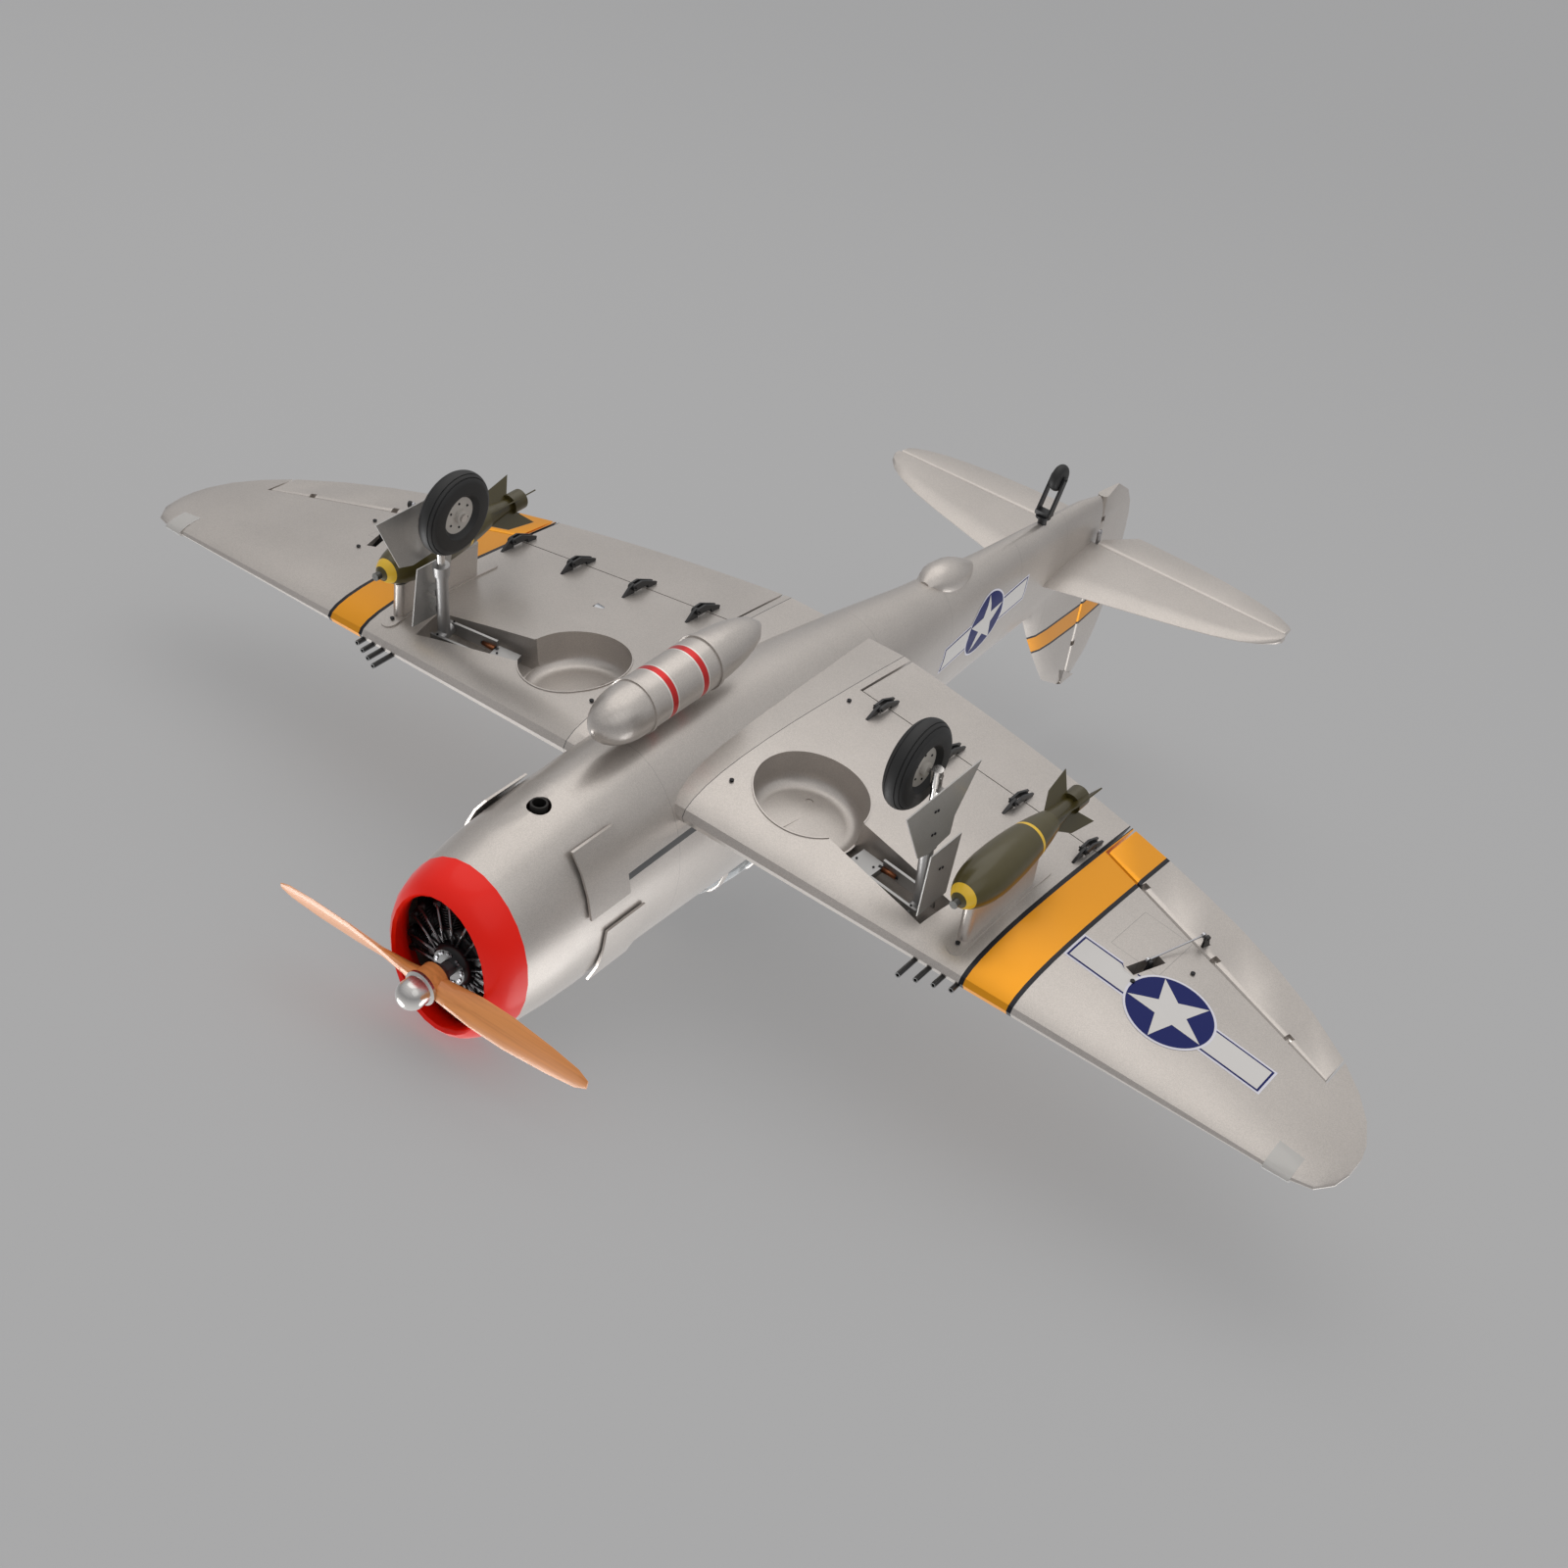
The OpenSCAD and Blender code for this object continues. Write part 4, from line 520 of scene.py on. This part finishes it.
# ---- Tail surfaces ---------------------------------------------------------------------------------------
# The stabiliser, elevators and rudder are built and finished like the wings, with thin hinge gaps.
shell("stabiliser", silver, "silver")
for side in ("left", "right"):
    shell("elevator_" + side, silver, "silver", "elevator")
shell("rudder", silver_body, "silver", "rudder")
steel = dressed("steel", (0.50, 0.50, 0.52), 0.3, metal=1.0, spread=0.06, grain=1500)
black_steel = dressed("black_steel", (0.02, 0.02, 0.022), 0.35, metal=0.7, spread=0.2)
black_paint = dressed("black_paint", (0.012, 0.012, 0.013), 0.36, spread=0.25, coat=0.1)
shell("elevator_joiner", steel, "steel", "elevator")
shell("tail_bracket", black_plastic, "black_plastic")
shell("tail_fork", black_plastic, "black_plastic", "tail_steer")

# ---- Hinges, servos and control rods ---------------------------------------------------------------------
# Black nylon flap brackets, servo arms and horns are screwed on; thin steel rods join arm and horn.
shell("flap_brackets", black_plastic, "black_plastic")
shell("hinge_pins", silver, "steel")
shell("servos", black_plastic, "black_plastic")
shell("wing_tube", dressed("anodised_tube", (0.40, 0.41, 0.43), 0.3, metal=1.0), "tube_metal")
for side in ("left", "right"):
    shell("horn_" + side, black_plastic, "black_plastic", "aileron_" + side)
    shell("servo_arm_" + side, black_plastic, "black_plastic", "servo_arm_" + side)
    shell("pushrod_" + side, steel, "steel", "pushrod_" + side)

# ---- Guns, pylons and bombs ------------------------------------------------------------------------------
# Four black gun tubes step out of each leading edge. Under each panel a silver pylon holds a moulded bomb,
# olive with a yellow ring at each end, a dark fuse and four swept fins round a small drum.
shell("gun_barrels", black_paint, "black_paint")
shell("pylons", silver, "silver")
OLIVE = (0.062, 0.048, 0.006)
BOMB_NOSE = min((AIRFRAME.inverted() @ v.co).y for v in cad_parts["bomb_left"].data.vertices)


def bomb_paint(material, tint):
    y = split(material, airframe_axes(material))[1]
    for start, end in ((0.010, 0.0185), (0.132, 0.1365)):
        ring = between(material, y, BOMB_NOSE + start, BOMB_NOSE + end)
        tint = blended(material, ring, tint, (0.80, 0.50, 0.02))
    fuse = sum_of(material, "LESS_THAN", y, BOMB_NOSE + 0.007)
    return blended(material, fuse, tint, (0.03, 0.028, 0.02))


olive = dressed("olive_gloss", OLIVE, 0.32, coat=0.25, spread=0.12, wear=0.06, colour=bomb_paint)
olive_fins = dressed("olive_fins", (0.052, 0.040, 0.007), 0.36, coat=0.2, spread=0.2)
for side in ("left", "right"):
    shell("bomb_" + side, olive, "olive")
shell("bomb_tails", olive_fins, "olive", sharp=25)

# ---- Landing gear ----------------------------------------------------------------------------------------
# Alloy retract units with black screws sit in the wing; polished struts slide over lower legs, silver doors
# are screwed to them, and each wheel has a pale moulded hub in a soft black tyre with shoulder grooves.
alloy = dressed("milled_alloy", (0.36, 0.355, 0.35), 0.42, metal=0.85, spread=0.08, grain=1800,
                grain_depth=0.00004)
chrome = dressed("chrome", (0.62, 0.60, 0.58), 0.22, metal=1.0, spread=0.03, wear=0.03)
hub_grey = dressed("hub_moulding", (0.50, 0.47, 0.43), 0.45, spread=0.06, coat=0.1)
rubber = dressed("tyre_rubber", (0.012, 0.012, 0.012), 0.55, spread=0.25, wear=0.08, grain=1200,
                 grain_depth=0.00012)
copper = dressed("copper_can", (0.30, 0.11, 0.05), 0.35, metal=0.9, spread=0.15)
door_silver = dressed("silver_door", (0.40, 0.39, 0.375), 0.36, metal=0.6, coat=0.2, colour=flaked)
shell("retract_units", alloy, "cast_metal")
shell("fasteners", black_steel, "black_steel")


def cap_screw(bm, place, normal, r, high):
    """A socket-head screw: a chamfered head with a sunken recess."""
    turn = Matrix.Translation(place) @ normal.to_track_quat("Z", "Y").to_matrix().to_4x4()
    made = bmesh.ops.create_cone(bm, cap_ends=True, segments=18, radius1=r, radius2=r, depth=high,
                                 matrix=turn @ Matrix.Translation((0, 0, high / 2)))
    top = max((f for v in made["verts"] for f in v.link_faces if len(f.verts) > 4),
              key=lambda f: f.calc_center_median().dot(normal))
    bmesh.ops.inset_region(bm, faces=[top], thickness=r * 0.12, depth=0)
    bmesh.ops.translate(bm, verts=top.verts, vec=normal * high * 0.12)
    bmesh.ops.inset_region(bm, faces=[top], thickness=r * 0.40, depth=0)
    bmesh.ops.inset_region(bm, faces=[top], thickness=r * 0.02, depth=0)
    bmesh.ops.translate(bm, verts=top.verts, vec=-normal * high * 0.7)


def screws_on(name, target, body, spots, toward, r=1.6, high=0.9):
    """Screws where rays from the spots meet a piece, drawn in row metres."""
    skin = BVHTree.FromObject(bpy.data.objects[target + "_shell"], bpy.context.evaluated_depsgraph_get())
    bm = bmesh.new()
    for spot in spots:
        hit = skin.ray_cast(spot, toward)
        if hit[0]:
            cap_screw(bm, hit[0] - hit[1] * 0.0001, hit[1], r / 1000, high / 1000)
    built(bm, name, black_steel, "black_steel", body)


def door_spots(door, sign, shares, gap=0.0055):
    """Pairs of spots down the middle of a door, outboard of it."""
    skin = BVHTree.FromObject(bpy.data.objects[door + "_shell"], bpy.context.evaluated_depsgraph_get())
    low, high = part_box(door)
    spots = []
    for share in shares:
        z = low.z + share * (high.z - low.z)
        rows = [low.y + k / 60 * (high.y - low.y) for k in range(61)]
        found = [y for y in rows if skin.ray_cast(Vector((sign * 0.7, y, z)), Vector((-sign, 0, 0)))[0]]
        middle = sum(found) / len(found)
        spots += [Vector((sign * 0.7, middle - gap / 2, z)), Vector((sign * 0.7, middle + gap / 2, z))]
    return spots


def turned(profile, centre, axis, steps=96):
    """A closed outline of (along the axis, radius) in millimetres, spun round the axis."""
    bm = bmesh.new()
    ring = [bm.verts.new((a, r, 0)) for a, r in profile]
    for i, v in enumerate(ring):
        bm.edges.new((v, ring[(i + 1) % len(ring)]))
    bmesh.ops.spin(bm, geom=bm.verts[:] + bm.edges[:], cent=(0, 0, 0), axis=(1, 0, 0), angle=math.tau,
                   steps=steps, use_merge=True)
    bmesh.ops.remove_doubles(bm, verts=bm.verts, dist=1e-4)
    bmesh.ops.recalc_face_normals(bm, faces=bm.faces)
    for face in bm.faces:
        face.smooth = True
    for edge in bm.edges:
        edge.smooth = edge.calc_face_angle(0) < math.radians(40)
    lay = Vector(axis).to_track_quat("X", "Z").to_matrix().to_4x4()
    bmesh.ops.transform(bm, matrix=Matrix.Translation(centre) @ lay @ MM, verts=bm.verts)
    return bm


MOTOR_X = 264                                              # the motor can's inner end


def tyre_profile(radius, wide, bead, bead_half, grooves, groove=0.9):
    """Half-round tread with shoulder grooves, straight walls down to the bead."""
    round_r = wide / 2
    points = [(-bead_half, bead), (-round_r + 1.0, bead + 5 * radius / 48)]
    for step in range(-70, 71, 2):
        a = math.radians(step)
        cut = groove if abs(step) in grooves else 0.0
        points.append(((round_r - cut) * math.sin(a), radius - round_r + (round_r - cut) * math.cos(a)))
    return points + [(round_r - 1.0, bead + 5 * radius / 48), (bead_half, bead)]


for side in ("left", "right"):
    shell("strut_" + side, alloy, "bright_metal", "gear_" + side)
    shell("leg_door_" + side, door_silver, "silver", "gear_" + side)
    shell("lower_leg_" + side, chrome, "bright_metal", "lower_leg_" + side)
    shell("wheel_door_" + side, door_silver, "silver", "lower_leg_" + side)
    shell("hub_" + side, hub_grey, "hub", "wheel_" + side)
    sign = 1 if side == "left" else -1
    screws_on("wheel_door_screws_" + side, "wheel_door_" + side, "lower_leg_" + side,
              door_spots("wheel_door_" + side, sign, (0.42, 0.74)), Vector((-sign, 0, 0)))
    screws_on("leg_door_screws_" + side, "leg_door_" + side, "gear_" + side,
              door_spots("leg_door_" + side, sign, (0.40,)), Vector((-sign, 0, 0)))
    low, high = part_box("tyre_" + side)
    middle = (low + high) / 2
    built(turned(tyre_profile(48.0, 27.0, 21.05, 7, (24, 26, 44, 46)), middle, (1, 0, 0)),
          "tyre_rubber_" + side, rubber, "tyre", "wheel_" + side, "tyre_" + side)
    hub = bmesh.new()
    for facing in (-1, 1):
        for k in range(6):
            turn = Matrix.Rotation(math.radians(60 * k + 15), 3, "X")
            at = middle + Vector((facing * 0.0069, 0, 0)) + turn @ Vector((0, 0.0145, 0))
            cap_screw(hub, at, Vector((facing, 0, 0)), 0.0013, 0.0008)
    built(hub, "hub_screws_" + side, black_steel, "black_steel", "wheel_" + side)
    spots = [AIRFRAME @ Vector((sign * (0.322 - inboard), 0.062 + aft, -0.2))
             for inboard in (0.066, 0.087, 0.002, 0.030) for aft in (-0.0135, 0.0135)]
    screws_on("retract_screws_" + side, "retract_units", "airframe", spots,
              AIRFRAME.to_3x3() @ Vector((0, 0, 1)), r=1.25, high=1.0)
    motor = bmesh.new()
    for start, end, r, kind in ((0, 17, 3.2, 0), (17, 19, 2.4, 1), (-5, 0, 2.8, 1)):
        tube(motor, (sign * (MOTOR_X + start), 81, -70), (sign * (MOTOR_X + end), 81, -70), r, None, 24, kind)
    bmesh.ops.transform(motor, matrix=AIRFRAME @ MM, verts=motor.verts)
    built(motor, "gear_motor_" + side, [copper, black_plastic], "dark_metal", "airframe")
shell("tail_wheel", rubber, "tyre", "tail_wheel")

# ---- Propeller and nut -----------------------------------------------------------------------------------
# A two-bladed wooden propeller, oiled and varnished so that its long grain shows, under a polished domed nut.


def wood_grain(material, tint):
    place = node(material, "ShaderNodeTexCoord").outputs["Object"]
    along = node(material, "ShaderNodeMapping", Vector=place, Rotation=(0, BLADE_TURN, 0)).outputs[0]
    fine = node(material, "ShaderNodeMapping", Vector=along, Scale=(6, 260, 260)).outputs[0]
    streak = noise(material, 1.0, 6.0, fine)
    return blended(material, ranged(material, streak, -0.45, 0.85), tint, (0.50, 0.17, 0.045))


low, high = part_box("propeller")
blade = max((v.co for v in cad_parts["propeller"].data.vertices), key=lambda c: c.x)
BLADE_TURN = math.atan2(blade.z - (low.z + high.z) / 2, blade.x - (low.x + high.x) / 2)
wood = dressed("varnished_wood", (0.86, 0.34, 0.10), 0.36, coat=0.25, spread=0.08, cloud=14,
               colour=wood_grain)
shell("propeller", wood, "wood", "propeller")
shell("prop_nut", chrome, "bright_metal", "propeller")
shell("prop_shaft", steel, "steel", "propeller")

low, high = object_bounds()
